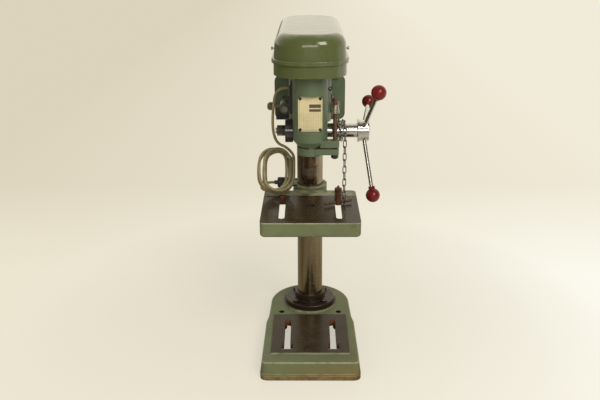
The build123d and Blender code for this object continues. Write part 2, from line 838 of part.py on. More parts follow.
def return_spring():
    """Flat spiral spring between the shaft's tail and the housing."""
    inner = shaft_tail_r + spring_band / 2 + slide_gap
    outer = spring_housing_r - spring_housing_wall - spring_band / 2 - slide_gap
    step = (outer - inner) / (2 * spring_turns)
    arcs = []
    side = 1
    end = inner
    for i in range(2 * spring_turns):
        r = inner + step * (i + 0.5)
        start = (end, 0)
        end = end - side * 2 * r
        middle = ((start[0] + end) / 2, side * r)
        arcs.append(ThreePointArc(start, middle, (end, 0)))
        side = -side
    band = trace(Curve() + arcs, spring_band)
    width = spring_housing_length - spring_housing_wall - 3
    plane = Plane(origin=(-nose_r - 1.5 - width, pinion_y, pinion_z), x_dir=(0, 1, 0), z_dir=(1, 0, 0))
    return plane * extrude(band, width)


def spring_nuts():
    """Pair of lock nuts on the shaft's tail."""
    nuts = []
    start = housing_end_x - slide_gap
    for i in range(2):
        high = start - i * (spring_nut_length - 1)
        nut = hexagon_x(spring_nut_r, high - spring_nut_length + 1, high, pinion_y, pinion_z)
        nuts.append(nut - rod_x_axis(shaft_tail_r, high - 2 * spring_nut_length, high + 1, pinion_y, pinion_z))
    return group(nuts)


def spline_outline(grow):
    """Cross-section of the splined spindle top."""
    outline = Circle(spline_r - 1.2 + grow)
    for i in range(spline_teeth):
        tooth = Pos(spline_r / 2, 0) * Rectangle(spline_r + 2 * grow, 2.4 + 2 * grow)
        outline += Rot(0, 0, 360 * i / spline_teeth) * tooth
    return outline


def spindle():
    """Spindle with a chuck arbor below and a splined drive end above."""
    bar = rod_z(spindle_r, chuck_top_z, quill_top_z, 0, spindle_y)
    bar += rod_z(chuck_arbor_r, chuck_top_z - chuck_arbor_length, chuck_top_z, 0, spindle_y)
    return bar + Pos(0, spindle_y, quill_top_z) * extrude(spline_outline(0), spindle_top_z - quill_top_z)


def drive_sleeve():
    """Sleeve that turns the spindle through its splines."""
    tube = rod_z(sleeve_r, sleeve_floor_z, sleeve_top_z, 0, spindle_y)
    return tube - Pos(0, spindle_y, sleeve_floor_z) * extrude(spline_outline(spline_gap), sleeve_top_z - sleeve_floor_z)


def sleeve_bearings():
    """Two bearings of the drive sleeve in the head's top, as closed rings."""
    lows = (sleeve_floor_z, head_top_z - bearing_height)
    bore = sleeve_r + running_gap
    return group([ring_z(sleeve_bearing_r, bore, low, low + bearing_height, 0, spindle_y) for low in lows])


def jaw_frame(index):
    """Plane at a jaw's tip with its normal along the jaw, leaning out as it rises."""
    a = 2 * math.pi * index / jaw_count + math.pi / 6
    lean = math.radians(jaw_lean)
    out = Vector(math.cos(a), math.sin(a), 0)
    tip = Vector(0, spindle_y, chuck_nose_z - jaw_tip_drop) + out * jaw_tip_offset
    return Plane(origin=tip, z_dir=out * math.sin(lean) + Vector(0, 0, math.cos(lean)))


def chuck_jaw(index):
    """Round jaw with two flats that meet its neighbours on the axis."""
    rod = jaw_frame(index) * Cylinder(jaw_r, jaw_length, align=(Align.CENTER, Align.CENTER, Align.MIN))
    reach = 4 * chuck_r
    wedge = make_face(Polyline((slide_gap, 0), (reach, reach * math.tan(math.pi / 3)),
                               (reach, -reach * math.tan(math.pi / 3)), close=True))
    turn = 360 * index / jaw_count + 30
    keep = Pos(0, spindle_y, chuck_nose_z - 2 * jaw_length) * Rot(0, 0, turn) * extrude(wedge, 4 * jaw_length)
    floor = block((-reach, spindle_y - reach, 0), (reach, spindle_y + reach, chuck_nose_z - jaw_tip_drop))
    return (rod & keep) - floor


def chuck_body():
    """Chuck body with an arbor hole above and leaning jaw bores in its nose."""
    body = rod_z(chuck_r, chuck_sleeve_high_z, chuck_top_z, 0, spindle_y)
    body = chamfer(body.faces().sort_by(Axis.Z)[-1].edges(), 1.5)
    body += rod_z(chuck_core_r, chuck_sleeve_low_z, chuck_sleeve_high_z, 0, spindle_y)
    nose = Cone(chuck_nose_r, chuck_core_r, chuck_sleeve_low_z - chuck_nose_z,
                align=(Align.CENTER, Align.CENTER, Align.MIN))
    body += Pos(0, spindle_y, chuck_nose_z) * nose
    body -= rod_z(chuck_arbor_r, chuck_top_z - chuck_arbor_length, chuck_top_z, 0, spindle_y)
    for i in range(jaw_count):
        bore = Cylinder(jaw_r + running_gap, jaw_length + jaw_travel + 1, align=(Align.CENTER, Align.CENTER, Align.MIN))
        body -= jaw_frame(i) * bore
    return body


def chuck_sleeve():
    """Outer chuck ring with key teeth round its lower edge."""
    ring = ring_z(chuck_sleeve_r, chuck_core_r + running_gap, chuck_sleeve_low_z, chuck_sleeve_high_z - slide_gap, 0, spindle_y)
    notch_depth = 4.5
    for i in range(chuck_teeth):
        notch = Pos(chuck_sleeve_r, 0, chuck_sleeve_low_z) * Rot(0, 45, 0) * Box(notch_depth, 2.2, notch_depth)
        ring -= Pos(0, spindle_y, 0) * Rot(0, 0, 360 * i / chuck_teeth) * notch
    return ring


def cone_pulley(radii, bore_r, y):
    """Stepped pulley with a V groove in each step, given from the lowest step up."""
    solid = None
    for i, r in enumerate(radii):
        low = pulley_floor_z + i * pulley_step_height
        middle = low + pulley_step_height / 2
        outline = Polyline((0, low), (r, low), (r, middle - groove_top / 2),
                           (r - pulley_groove_depth, middle - groove_bottom / 2),
                           (r - pulley_groove_depth, middle + groove_bottom / 2),
                           (r, middle + groove_top / 2), (r, low + pulley_step_height), (0, low + pulley_step_height),
                           close=True)
        step = revolve(Plane.XZ * make_face(outline), Axis.Z)
        solid = step if solid is None else solid + step
    top = pulley_floor_z + len(radii) * pulley_step_height
    return Pos(0, y, 0) * solid - rod_z(bore_r, pulley_floor_z, top, 0, y)


def spindle_radii():
    """Step radii of the spindle pulley, from the lowest up."""
    return [spindle_pulley_r - i * pulley_step_fall for i in range(pulley_step_count)]


def motor_radii():
    """Step radii of the motor pulley, from the lowest up."""
    return [motor_pulley_r - (pulley_step_count - 1 - i) * pulley_step_fall for i in range(pulley_step_count)]


def v_belt():
    """Endless V-belt round one pair of pulley steps."""
    front_r = spindle_radii()[belt_step_index] - belt_inset
    rear_r = motor_radii()[belt_step_index] - belt_inset
    tilt = math.asin((front_r - rear_r) / (motor_y - spindle_y))

    def loop(inset):
        fr = front_r - inset
        rr = rear_r - inset
        c = math.cos(tilt)
        s = math.sin(tilt)
        p = (fr * c, spindle_y + fr * s)
        q = (rr * c, motor_y + rr * s)
        lines = [Line(p, q), ThreePointArc(q, (0, motor_y + rr), (-q[0], q[1])), Line((-q[0], q[1]), (-p[0], p[1])),
                 ThreePointArc((-p[0], p[1]), (0, spindle_y - fr), p)]
        return make_face(Curve() + lines)

    slope = (groove_top - groove_bottom) / (2 * pulley_groove_depth)
    half = groove_top / 2 - belt_inset * slope - belt_clearance
    layers = 4
    belt = None
    for i in range(layers):
        outer = i * belt_height / layers
        inner = (i + 1) * belt_height / layers
        reach = half - inner * slope
        ring = prism_z(loop(outer) - loop(inner), belt_z - reach, belt_z + reach)
        belt = ring if belt is None else belt + ring
    return belt


def motor_shell():
    """Ribbed motor body with a foot towards its plate."""
    low = motor_floor_z + bell_height
    high = motor_top_z - bell_height
    body = rod_z(motor_r - motor_rib_r, low, high, 0, motor_y)
    for i in range(motor_rib_count):
        a = 2 * math.pi * i / motor_rib_count
        r = motor_r - motor_rib_r
        body += rod_z(motor_rib_r, low, high, r * math.cos(a), motor_y + r * math.sin(a))
    rear = motor_plate_y + motor_plate_thickness
    body += block((-motor_foot_width / 2, rear, low + 4), (motor_foot_width / 2, motor_y, high - 4))
    return body - rod_z(motor_r - 12, low, high, 0, motor_y)


def motor_end_bells():
    """Domed ends of the motor, the upper one open for the shaft."""
    bells = []
    for low, top_side in ((motor_floor_z, False), (motor_top_z - bell_height, True)):
        bell = rod_z(motor_r - motor_rib_r, low, low + bell_height, 0, motor_y)
        rim = bell.faces().sort_by(Axis.Z)[-1 if top_side else 0].edges()
        bell = fillet(rim, bell_height * 0.5)
        hollow_r = motor_r - motor_rib_r - bell_wall
        inner_low = low - 1 if top_side else low + bell_wall
        inner_high = low + bell_height - bell_wall if top_side else low + bell_height + 1
        bell -= rod_z(hollow_r - bell_height / 2, inner_low, inner_high, 0, motor_y)
        bell -= rod_z(motor_shaft_r + running_gap, inner_low, low + 2 * bell_height, 0, motor_y)
        bells.append(bell)
    return group(bells)


def motor_shaft():
    """Motor shaft with its rotor."""
    shaft = rod_z(motor_shaft_r, motor_floor_z + bell_wall + seat_gap, sleeve_top_z, 0, motor_y)
    low = motor_floor_z + bell_height + 12
    return shaft + rod_z(motor_r - 26, low, motor_top_z - bell_height - 12, 0, motor_y)


def motor_plate():
    """Upright plate between the slide bars and the motor."""
    height = motor_plate_top_z - motor_plate_floor_z
    face = RectangleRounded(motor_plate_width, height, motor_plate_corner_r)
    middle = (motor_plate_top_z + motor_plate_floor_z) / 2
    plate = Pos(0, motor_plate_y + motor_plate_thickness, middle) * Rot(90, 0, 0) * extrude(face, motor_plate_thickness)
    lip_low = motor_plate_top_z - 10
    lip_x = motor_plate_width / 2 - motor_plate_corner_r
    plate += block((-lip_x, motor_plate_y - 6, lip_low), (lip_x, motor_plate_y + 1, motor_plate_top_z))
    for x, z in motor_bolt_places():
        plate -= rod_y_axis(motor_bolt_r, motor_plate_y - 20, motor_plate_y + 20, x, z)
    return plate


def motor_bolt_places():
    """Bolt centres on the motor plate."""
    x = motor_foot_width / 2 - 8
    middle = (motor_top_z + motor_floor_z) / 2
    return [(sx * x, middle + sz * motor_bolt_spread / 2) for sx in (-1, 1) for sz in (-1, 1)]


def motor_bolts():
    """Bolts from the plate's front into the motor's foot."""
    bolts = []
    for x, z in motor_bolt_places():
        bolt = rod_y_axis(motor_bolt_r, motor_plate_y, motor_plate_y + motor_plate_thickness, x, z)
        head = Pos(x, motor_plate_y, z) * Rot(90, 0, 0) * extrude(RegularPolygon(1.8 * motor_bolt_r, 6), 5)
        bolts.append(bolt + head)
    return group(bolts)


def slide_bars():
    """Two bars that carry the motor plate in the head's bosses."""
    start = bar_front_y - 12
    return group([rod_y_axis(bar_r, start, motor_plate_y, side * bar_x, bar_z) for side in (-1, 1)])


def tension_knob():
    """Lock screw with a round knob for the left slide bar."""
    tip = -bar_x - bar_r - slide_gap
    knob_end = -bar_x - bar_boss_r - knob_stand_off
    screw = rod_x_axis(knob_screw_r() - running_gap, knob_end - knob_length / 2, tip, knob_y(), bar_z)
    knob = rod_x_axis(knob_r, knob_end - knob_length, knob_end, knob_y(), bar_z)
    return screw + fillet(knob.edges().filter_by(GeomType.CIRCLE), knob_round)


def terminal_box():
    """Wiring box on the motor plate's front."""
    w, d, h = terminal_box_size
    box = block((terminal_box_x - w / 2, motor_plate_y - d, terminal_box_z - h / 2),
                (terminal_box_x + w / 2, motor_plate_y, terminal_box_z + h / 2))
    return fillet(box.faces().sort_by(Axis.Y)[0].edges(), 3)


def cover_outline(inset):
    """Plan of the belt cover, rounder at the rear."""
    half = cover_width / 2 - inset
    front = cover_front_y + inset
    rear = cover_rear_y - inset
    face = make_face(Polyline((-half, front), (half, front), (half, rear), (-half, rear), close=True))
    ordered = face.vertices().sort_by(Axis.Y)
    face = fillet(ordered[:2], cover_front_r - inset)
    return fillet(face.vertices().sort_by(Axis.Y)[-2:], cover_rear_r - inset)


def cover_rim(low):
    """Bead round the cover's seam, as a solid slice."""
    return prism_z(cover_outline(-rim_proud), low, low + rim_height)


def knuckle(x_low, lid_side):
    """Hinge knuckle and the tab that joins it to the rim."""
    tab_low = cover_seam_z if lid_side else cover_seam_z - rim_height
    part = rod_x_axis(lid_knuckle_r, x_low, x_low + lid_knuckle_length, hinge_y, cover_seam_z)
    part += block((x_low, cover_rear_y, tab_low), (x_low + lid_knuckle_length, hinge_y, tab_low + rim_height))
    return part


def knuckle_starts(lid_side):
    """Left ends of the knuckles of the lid or of the pan."""
    gap = lid_knuckle_length + slide_gap
    if lid_side:
        return [lid_hinge_x - gap, -lid_hinge_x + slide_gap]
    return [lid_hinge_x, -lid_hinge_x - lid_knuckle_length]


def cover_pan():
    """Lower half of the belt cover, fixed on the head's top."""
    pan = prism_z(cover_outline(0), head_top_z, cover_seam_z) + cover_rim(cover_seam_z - rim_height)
    pan -= prism_z(cover_outline(cover_wall), head_top_z + cover_wall, cover_seam_z)
    for x in knuckle_starts(False):
        pan += knuckle(x, False) - prism_z(cover_outline(cover_wall), head_top_z, cover_top_z)
    pan -= rod_x_axis(lid_pin_r, -cover_width, cover_width, hinge_y, cover_seam_z)
    pan -= rod_z(sleeve_r + 4, head_top_z, cover_seam_z, 0, spindle_y)
    slot = slot_outline(2 * motor_shaft_r + 14, 2 * motor_shaft_r + 14 + 2 * tension_travel)
    return pan - Pos(0, motor_y, head_top_z) * extrude(slot, cover_wall)


def lid_shape(inset):
    """Leaning walls and a rounded top, drawn in by the inset."""
    height = cover_top_z - inset - cover_seam_z
    lean = math.degrees(math.atan(cover_lean / (cover_top_z - cover_seam_z)))
    body = Pos(0, 0, cover_seam_z) * extrude(cover_outline(inset), height, taper=lean)
    return fillet(body.faces().sort_by(Axis.Z)[-1].edges(), cover_top_r - inset)


def cover_lid():
    """Upper half of the belt cover, hinged at the rear."""
    lid = lid_shape(0) + cover_rim(cover_seam_z)
    lid -= lid_shape(cover_wall)
    for x in knuckle_starts(True):
        lid += knuckle(x, True) - prism_z(cover_outline(cover_wall), head_top_z, cover_seam_z + rim_height)
    lid -= rod_x_axis(lid_pin_r + running_gap, -cover_width, cover_width, hinge_y, cover_seam_z)
    for side in (-1, 1):
        low = min(side * cover_width / 4, side * cover_width)
        lid -= rod_x_axis(grip_r / 2, low, low + 3 * cover_width / 4, grip_y, grip_z)
    return lid


def lid_grips():
    """Small side knobs for lifting the lid."""
    grips = []
    for side in (-1, 1):
        inner = cover_width / 2 - cover_wall - cover_lean
        outer = cover_width / 2 + grip_reach
        neck = rod_x_axis(grip_r / 2, inner, outer, grip_y, grip_z)
        knob = neck + rod_x_axis(grip_r, outer - grip_reach / 2, outer, grip_y, grip_z)
        grips.append(knob if side > 0 else mirror_x(knob))
    return group(grips)


def lid_hinge_pins():
    """Pins through the lid's knuckles."""
    pins = []
    for side in (-1, 1):
        low = lid_hinge_x - lid_knuckle_length - slide_gap
        pin = rod_x_axis(lid_pin_r, low, lid_hinge_x + lid_knuckle_length, hinge_y, cover_seam_z)
        pins.append(pin if side > 0 else mirror_x(pin))
    return group(pins)


def switch_box():
    """Flat switch housing on the head's left side."""
    t, w, h = switch_box_size
    box = block((-nose_r - t, switch_box_y - w / 2, switch_box_z - h / 2),
                (-nose_r, switch_box_y + w / 2, switch_box_z + h / 2))
    box = fillet(box.faces().sort_by(Axis.X)[0].edges(), 3)
    half = toggle_hub_width / 2
    return box - rod_y_axis(toggle_hub_r, switch_box_y - half, switch_box_y + half, -nose_r - t, switch_box_z)


def switch_toggle():
    """Toggle lever in the switch housing's face."""
    x = -nose_r - switch_box_size[0]
    half = toggle_hub_width / 2 - slide_gap
    hub = rod_y_axis(toggle_hub_r - slide_gap, switch_box_y - half, switch_box_y + half, x, switch_box_z)
    tip_r = 1.3 * toggle_r
    neck = math.sqrt(tip_r ** 2 - toggle_r ** 2)
    outline = [Line((0, 0), (toggle_r, 0)), Line((toggle_r, 0), (toggle_r, toggle_length - neck)),
               ThreePointArc((toggle_r, toggle_length - neck), (tip_r, toggle_length), (0, toggle_length + tip_r)),
               Line((0, toggle_length + tip_r), (0, 0))]
    lever = revolve(Plane.XZ * make_face(Curve() + outline), Axis.Z)
    return hub + Pos(x, switch_box_y, switch_box_z) * Rot(0, -90, 0) * lever


def gland_place():
    """Centre of the gland on the switch housing's face."""
    return (-nose_r - switch_box_size[0], switch_box_y - 4, switch_box_z + switch_box_size[2] / 2 - 12)


def cord_gland():
    """Tapered gland where the mains lead leaves the switch housing."""
    x, y, z = gland_place()
    cone = Cone(gland_r, cord_r + 1, gland_length, align=(Align.CENTER, Align.CENTER, Align.MIN))
    return Pos(x, y, z) * Rot(0, -90, 0) * cone


def hank_centre_z():
    """The hank hangs just clear of the table."""
    lean = math.radians(hank_lean)
    reach = (hank_half_height + hank_height_fan) * math.cos(lean)
    return table_top_z + seat_gap + reach + hank_loops * hank_turn_step / 2 * math.sin(lean) + cord_r


def hank_place():
    """Where the hank's own frame lies, leaning back as it rises."""
    return Pos(hank_x, hank_y, hank_centre_z()) * Rot(-hank_lean, 0, 0)


def loosen(index):
    """A share between -1 and 1 that sets each run and bend apart from the others."""
    return math.cos(math.radians(fan_angle * index))


def run_x(index):
    """Distance of a run from the hank's middle: even runs lie right, odd runs left."""
    side = 1 if index % 2 == 0 else -1
    return side * (hank_mean_r + hank_fan * loosen(index))


def run_depth(index):
    """Depth of a run, from the front run to the rear one, which lies a lead's width further back."""
    depth = (index / 2 - hank_loops / 2) * hank_turn_step
    return depth + cord_d if index == 2 * hank_loops else depth


def bend_r(index):
    """Radius of the half turn between a run and the next."""
    return math.hypot(run_x(index) - run_x(index + 1), run_depth(index) - run_depth(index + 1)) / 2


def bend_z(index):
    """Height at which that half turn starts: below after an even run, above after an odd one."""
    reach = hank_half_height + hank_height_fan * loosen(index + 2)
    return (reach - bend_r(index)) * (-1 if index % 2 == 0 else 1)


def hank_end_z():
    """Lowest point of the last quarter turn."""
    return cord_d / 2 - hank_half_height


def hank_path():
    """One unbroken route of loops that differ in width and height, each behind the one before."""
    lines = []
    start = (run_x(0), run_depth(0), hank_start_z)
    last = 2 * hank_loops
    for i in range(last):
        turn = (run_x(i), run_depth(i), bend_z(i))
        end = (run_x(i + 1), run_depth(i + 1), bend_z(i))
        top = bend_z(i) + math.copysign(bend_r(i), bend_z(i))
        middle = ((turn[0] + end[0]) / 2, (turn[1] + end[1]) / 2, top)
        lines.append(Line(start, turn))
        lines.append(ThreePointArc(turn, middle, end))
        start = end
    r = run_x(last)
    depth = run_depth(last)
    low = hank_end_z()
    bend = r * math.sqrt(0.5)
    lines.append(Line(start, (r, depth, low + r)))
    lines.append(ThreePointArc((r, depth, low + r), (bend, depth, low + r - bend), (0, depth, low)))
    lines.append(Line((0, depth, low), (-cord_d, depth, low)))
    return Wire(lines)


def tube(path, r):
    """Round tube swept along a route."""
    section = Plane(origin=path @ 0, z_dir=path % 0) * Circle(r)
    return sweep(section, path=path)


def cord_hank():
    """The mains lead's loose loops, as one tube."""
    path = hank_path()
    print("hank length", round(path.length, 1), "least gap", round(least_gap(path), 2))
    return hank_place() * tube(path, cord_r)


def least_gap(path):
    """Least free space between turns, measured on points along the route."""
    count = 900
    step = path.length / count
    points = [path @ (i / count) for i in range(count + 1)]
    apart = int(8 * cord_d / step)
    best = math.inf
    for i in range(count + 1):
        for j in range(i + apart, count + 1):
            best = min(best, (points[i] - points[j]).length)
    return best - cord_d


def lead_points():
    """Route of the mains lead from the gland down to the hank's first run."""
    x, y, z = gland_place()
    place = hank_place()
    top = (place * Pos(run_x(0), run_depth(0), hank_start_z)).position
    above = (place * Pos(run_x(0), run_depth(0), hank_start_z + 3 * cord_d)).position
    return [
        (x - gland_length, y, z),
        (-65.6, y, z),
        (-74.4, y, z - 3.2),
        (-81.5, -111.7, z - 9.2),
        (-86.2, -111.0, z - 17.3),
        (-89.4, -109.8, z - 32.0),
        (-91.8, -107.4, z - 50.0),
        (-93.6, -103.6, z - 71.0),
        (-94.6, -99.8, z - 93.0),
        (-93.4, -97.0, z - 115.0),
        (-88.6, -96.0, z - 134.5),
        (-79.5, -96.3, z - 147.5),
        (-62.0, -97.2, z - 154.5),
        (-46.8, -99.1, z - 168.7),
        tuple(above),
        tuple(top),
    ]


def tail_start():
    """Where the hank's last run ends."""
    last = run_depth(2 * hank_loops)
    return (hank_place() * Pos(-cord_d, last, hank_end_z())).position


def tail_points():
    """Route of the mains lead from the hank's last run round to the plug."""
    x, y, z = tail_start()
    rise = plug_z() - z
    return [
        (x, y, z),
        (x - 16.3, y, z),
        (x - 29.5, y + 9.6, z + 0.15 * rise),
        (x - 34.6, y + 25.1, z + 0.45 * rise),
        (x - 29.5, y + 40.7, z + 0.8 * rise),
        (x - 16.3, plug_y(), plug_z()),
        (plug_x(), plug_y(), plug_z()),
    ]


def plug_x():
    """Where the lead enters the plug."""
    return tail_start().X


def plug_y():
    """The plug lies behind the hank."""
    return tail_start().Y + 50.3


def plug_z():
    """The plug hangs just over the table."""
    return table_top_z + seat_gap + plug_r


def free_tube(points, name):
    """Tube of straight runs and arcs as large as the runs allow; prints its bends and volume."""
    spots = [Vector(*p) for p in points]
    radii = []
    for a, b, c in zip(spots, spots[1:], spots[2:]):
        turn = math.radians((b - a).get_angle(c - b))
        shorter = min((b - a).length, (c - b).length)
        radii.append(0.45 * shorter / math.tan(turn / 2))
    path = FilletPolyline(*points, radius=radii)
    wire = path if isinstance(path, Wire) else path.wire()
    solid = tube(wire, cord_r)
    print(name, "radii", [round(r, 1) for r in radii], "length", round(wire.length, 1),
          "volume share", round(solid.volume / (math.pi * cord_r ** 2 * wire.length), 4))
    return solid


def cord_lead():
    """Mains lead between the gland and the hank."""
    return free_tube(lead_points(), "lead")


def cord_tail():
    """Last stretch of the mains lead, into the plug."""
    return free_tube(tail_points(), "tail")


def mains_plug():
    """Two-pin plug at the lead's end, lying along X."""
    x = plug_x()
    body = rod_x_axis(plug_r, x + 8, x + plug_length, plug_y(), plug_z())
    body = fillet(body.edges().filter_by(GeomType.CIRCLE), 4)
    body += rod_x_axis(cord_r + 2, x, x + 10, plug_y(), plug_z())
    for side in (-1, 1):
        y = plug_y() + side * 9.5 * math.sqrt(0.5)
        z = plug_z() + side * 9.5 * math.sqrt(0.5)
        body += rod_x_axis(plug_pin_r, x + plug_length - 1, x + plug_length + plug_pin_length, y, z)
    return body


def chain_link():
    """One oval wire link along X."""
    outline = SlotOverall(chain_pitch, chain_width - 2 * chain_wire_r)
    path = outline.wires()[0]
    return tube(path, chain_wire_r)


def chain_wrap_r():
    """Radius of the chain's middle line round the feed sleeve."""
    return feed_sleeve_r + chain_width / 2 + slide_gap


def chain_point(distance):
    """Place and direction on the chain's route: drop, wraps round the sleeve, then a free end."""
    r = chain_wrap_r()
    front = pinion_y - r
    start = Vector(chain_anchor_x, pinion_y - r / 2, chain_anchor_z)
    bend = Vector(chain_wrap_x, front, pinion_z)
    drop = (bend - start).length
    turn_length = math.hypot(2 * math.pi * r, chain_wrap_step)
    if distance < drop:
        way = (bend - start).normalized()
        return start + way * distance, way
    distance -= drop
    if distance < chain_wraps * turn_length:
        a = 2 * math.pi * distance / turn_length
        x = chain_wrap_x + chain_wrap_step * distance / turn_length
        spot = Vector(x, pinion_y - r * math.cos(a), pinion_z - r * math.sin(a))
        way = Vector(chain_wrap_step / (2 * math.pi), r * math.sin(a), -r * math.cos(a)).normalized()
        return spot, way
    distance -= chain_wraps * turn_length
    x = chain_wrap_x + chain_wraps * chain_wrap_step
    return Vector(x, front, pinion_z - distance), Vector(0, 0, -1)


def chain_length():
    """Length of the chain from its anchor to the ring on the key's bar."""
    r = chain_wrap_r()
    start = Vector(chain_anchor_x, pinion_y - r / 2, chain_anchor_z)
    drop = (Vector(chain_wrap_x, pinion_y - r, pinion_z) - start).length
    wraps = chain_wraps * math.hypot(2 * math.pi * r, chain_wrap_step)
    return drop + wraps + pinion_z - chain_end_z()


def chain_end_z():
    """Height of the chain's end, its last link hooked under the ring's top."""
    ring_top = key_bar_z() + 2 * key_ring_r - key_ring_wire_r - key_bar_r - seat_gap
    return ring_top - key_ring_wire_r


def link_step():
    """Distance from one link to the next with their wires just free of each other."""
    most = chain_pitch - 2 * chain_wire_r - seat_gap
    pairs = math.ceil(chain_length() / (2 * most))
    return chain_length() / (2 * pairs)


def link_plane(index):
    """Frame of one link: X along the chain, turned a quarter from link to link."""
    step = link_step()
    spot, way = chain_point(step * (index + 0.5))
    flat = Plane(origin=spot, x_dir=way, z_dir=way.cross(key_way()))
    from_last = round(chain_length() / step) - 1 - index
    return Plane(flat * Rot(90 * (from_last % 2), 0, 0))


def key_chain():
    """Chain between the head and the chuck key, link by link."""
    link = chain_link()
    return group([link_plane(i) * link for i in range(round(chain_length() / link_step()))])


def chain_anchor():
    """Screw eye in the head's right side, through the chain's first link."""
    first = link_plane(0)
    end = first.origin - first.x_dir * (chain_pitch / 2)
    centre = end - first.x_dir * (eye_r - eye_wire_r - chain_wire_r - seat_gap)
    ring = Plane(origin=centre, z_dir=first.y_dir) * Torus(eye_r, eye_wire_r)
    return ring + rod_x_axis(eye_screw_r, nose_r, centre.X - eye_r + eye_wire_r, centre.Y, centre.Z)


def key_way():
    """Direction of the chuck key's bar."""
    return Vector(math.cos(math.radians(key_turn)), math.sin(math.radians(key_turn)), 0)


def key_bar_z():
    """Height of the chuck key's bar."""
    return table_top_z + seat_gap + key_bar_rise


def chuck_key():
    """Chuck key held upright just over the table, with a bar through it and a ring on the bar."""
    hang = Vector(chain_wrap_x + chain_wraps * chain_wrap_step, pinion_y - chain_wrap_r(), key_bar_z())
    middle = hang - key_way() * key_ring_offset
    x = middle.X
    y = middle.Y
    floor = table_top_z + seat_gap
    body_top = floor + key_body_length
    head_top = body_top + key_head_height
    body = rod_z(key_body_r, floor, body_top, x, y)
    body += rod_z(key_head_r, body_top, head_top, x, y)
    body += rod_z(key_pilot_r, body_top, head_top + key_pilot_length, x, y)
    groove_r = key_head_r * math.sin(math.pi / key_teeth) / 1.6
    for i in range(key_teeth):
        a = 2 * math.pi * i / key_teeth
        groove_x = x + key_head_r * math.cos(a)
        body -= rod_z(groove_r, body_top + key_head_height / 4, head_top, groove_x, y + key_head_r * math.sin(a))
    bar = along(middle - key_way() * key_bar_length / 2, middle + key_way() * key_bar_length / 2, key_bar_r)
    lift = key_ring_r - key_ring_wire_r - key_bar_r - seat_gap
    ring = Plane(origin=hang + Vector(0, 0, lift), z_dir=key_way()) * Torus(key_ring_r, key_ring_wire_r)
    return group([body - bar, bar, ring])


parts = {
    "base": base,
    "column_flange": column_flange,
    "flange_bolts": flange_bolts,
    "column": column,
    "table": table,
    "table_clamp_bolt": table_clamp_bolt,
    "table_clamp_lever": table_clamp_lever,
    "table_collar": table_collar,
    "head_casting": head_casting,
    "head_clamp_bolts": head_clamp_bolts,
    "nameplate": nameplate,
    "nameplate_screws": nameplate_screws,
    "quill": quill,
    "quill_bearings": quill_bearings,
    "stop_collar": stop_collar,
    "depth_rod": depth_rod,
    "depth_rod_nut": depth_rod_nut,
    "depth_stop_nut": depth_stop_nut,
    "pinion_shaft": pinion_shaft,
    "feed_sleeve": feed_sleeve,
    "feed_hub": feed_hub,
    "feed_arms": feed_arms,
    "feed_balls": feed_balls,
    "spring_housing": spring_housing,
    "return_spring": return_spring,
    "spring_nuts": spring_nuts,
    "spindle": spindle,
    "drive_sleeve": drive_sleeve,
    "sleeve_bearings": sleeve_bearings,
    "chuck_body": chuck_body,
    "chuck_sleeve": chuck_sleeve,
    "spindle_pulley": lambda: cone_pulley(spindle_radii(), sleeve_r, spindle_y),
    "motor_pulley": lambda: cone_pulley(motor_radii(), motor_shaft_r, motor_y),
    "v_belt": v_belt,
    "motor_shell": motor_shell,
    "motor_end_bells": motor_end_bells,
    "motor_shaft": motor_shaft,
    "motor_plate": motor_plate,
    "motor_bolts": motor_bolts,
    "slide_bars": slide_bars,
    "tension_knob": tension_knob,
    "terminal_box": terminal_box,
    "cover_pan": cover_pan,
    "cover_lid": cover_lid,
    "lid_grips": lid_grips,
    "lid_hinge_pins": lid_hinge_pins,
    "switch_box": switch_box,
    "switch_toggle": switch_toggle,
    "cord_gland": cord_gland,
    "cord_lead": cord_lead,
    "cord_hank": cord_hank,
    "cord_tail": cord_tail,
    "mains_plug": mains_plug,
    "key_chain": key_chain,
    "chain_anchor": chain_anchor,
    "chuck_key": chuck_key,
}
for jaw in range(jaw_count):
    parts[f"chuck_jaw_{jaw + 1}"] = lambda jaw=jaw: chuck_jaw(jaw)

os.makedirs("parts", exist_ok=True)
for name, make in parts.items():
    export_step(make(), f"parts/{name}.step")
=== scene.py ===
"""Bench drill press: finishes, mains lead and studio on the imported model."""

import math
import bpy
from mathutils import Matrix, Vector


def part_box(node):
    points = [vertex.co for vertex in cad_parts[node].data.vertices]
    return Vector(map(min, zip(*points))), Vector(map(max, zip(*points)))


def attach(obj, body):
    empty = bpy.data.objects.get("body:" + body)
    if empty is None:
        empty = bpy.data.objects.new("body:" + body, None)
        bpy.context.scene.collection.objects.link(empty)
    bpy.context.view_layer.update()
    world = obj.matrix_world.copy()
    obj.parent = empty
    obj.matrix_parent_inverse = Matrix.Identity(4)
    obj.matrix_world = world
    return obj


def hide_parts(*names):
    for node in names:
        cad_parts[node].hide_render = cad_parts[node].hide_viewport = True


bl_info = {
    "name": "Bench Drill Press",
    "version": (1, 0, 0),
    "blender": (4, 5, 0),
    "location": "View3D > Sidebar > Drill Press",
    "description": "Dresses the packed drill press with its finishes, mains lead and studio",
    "category": "Object",
}

import bpy
from bpy.props import FloatProperty, FloatVectorProperty, IntProperty, PointerProperty
from mathutils import Matrix, Vector

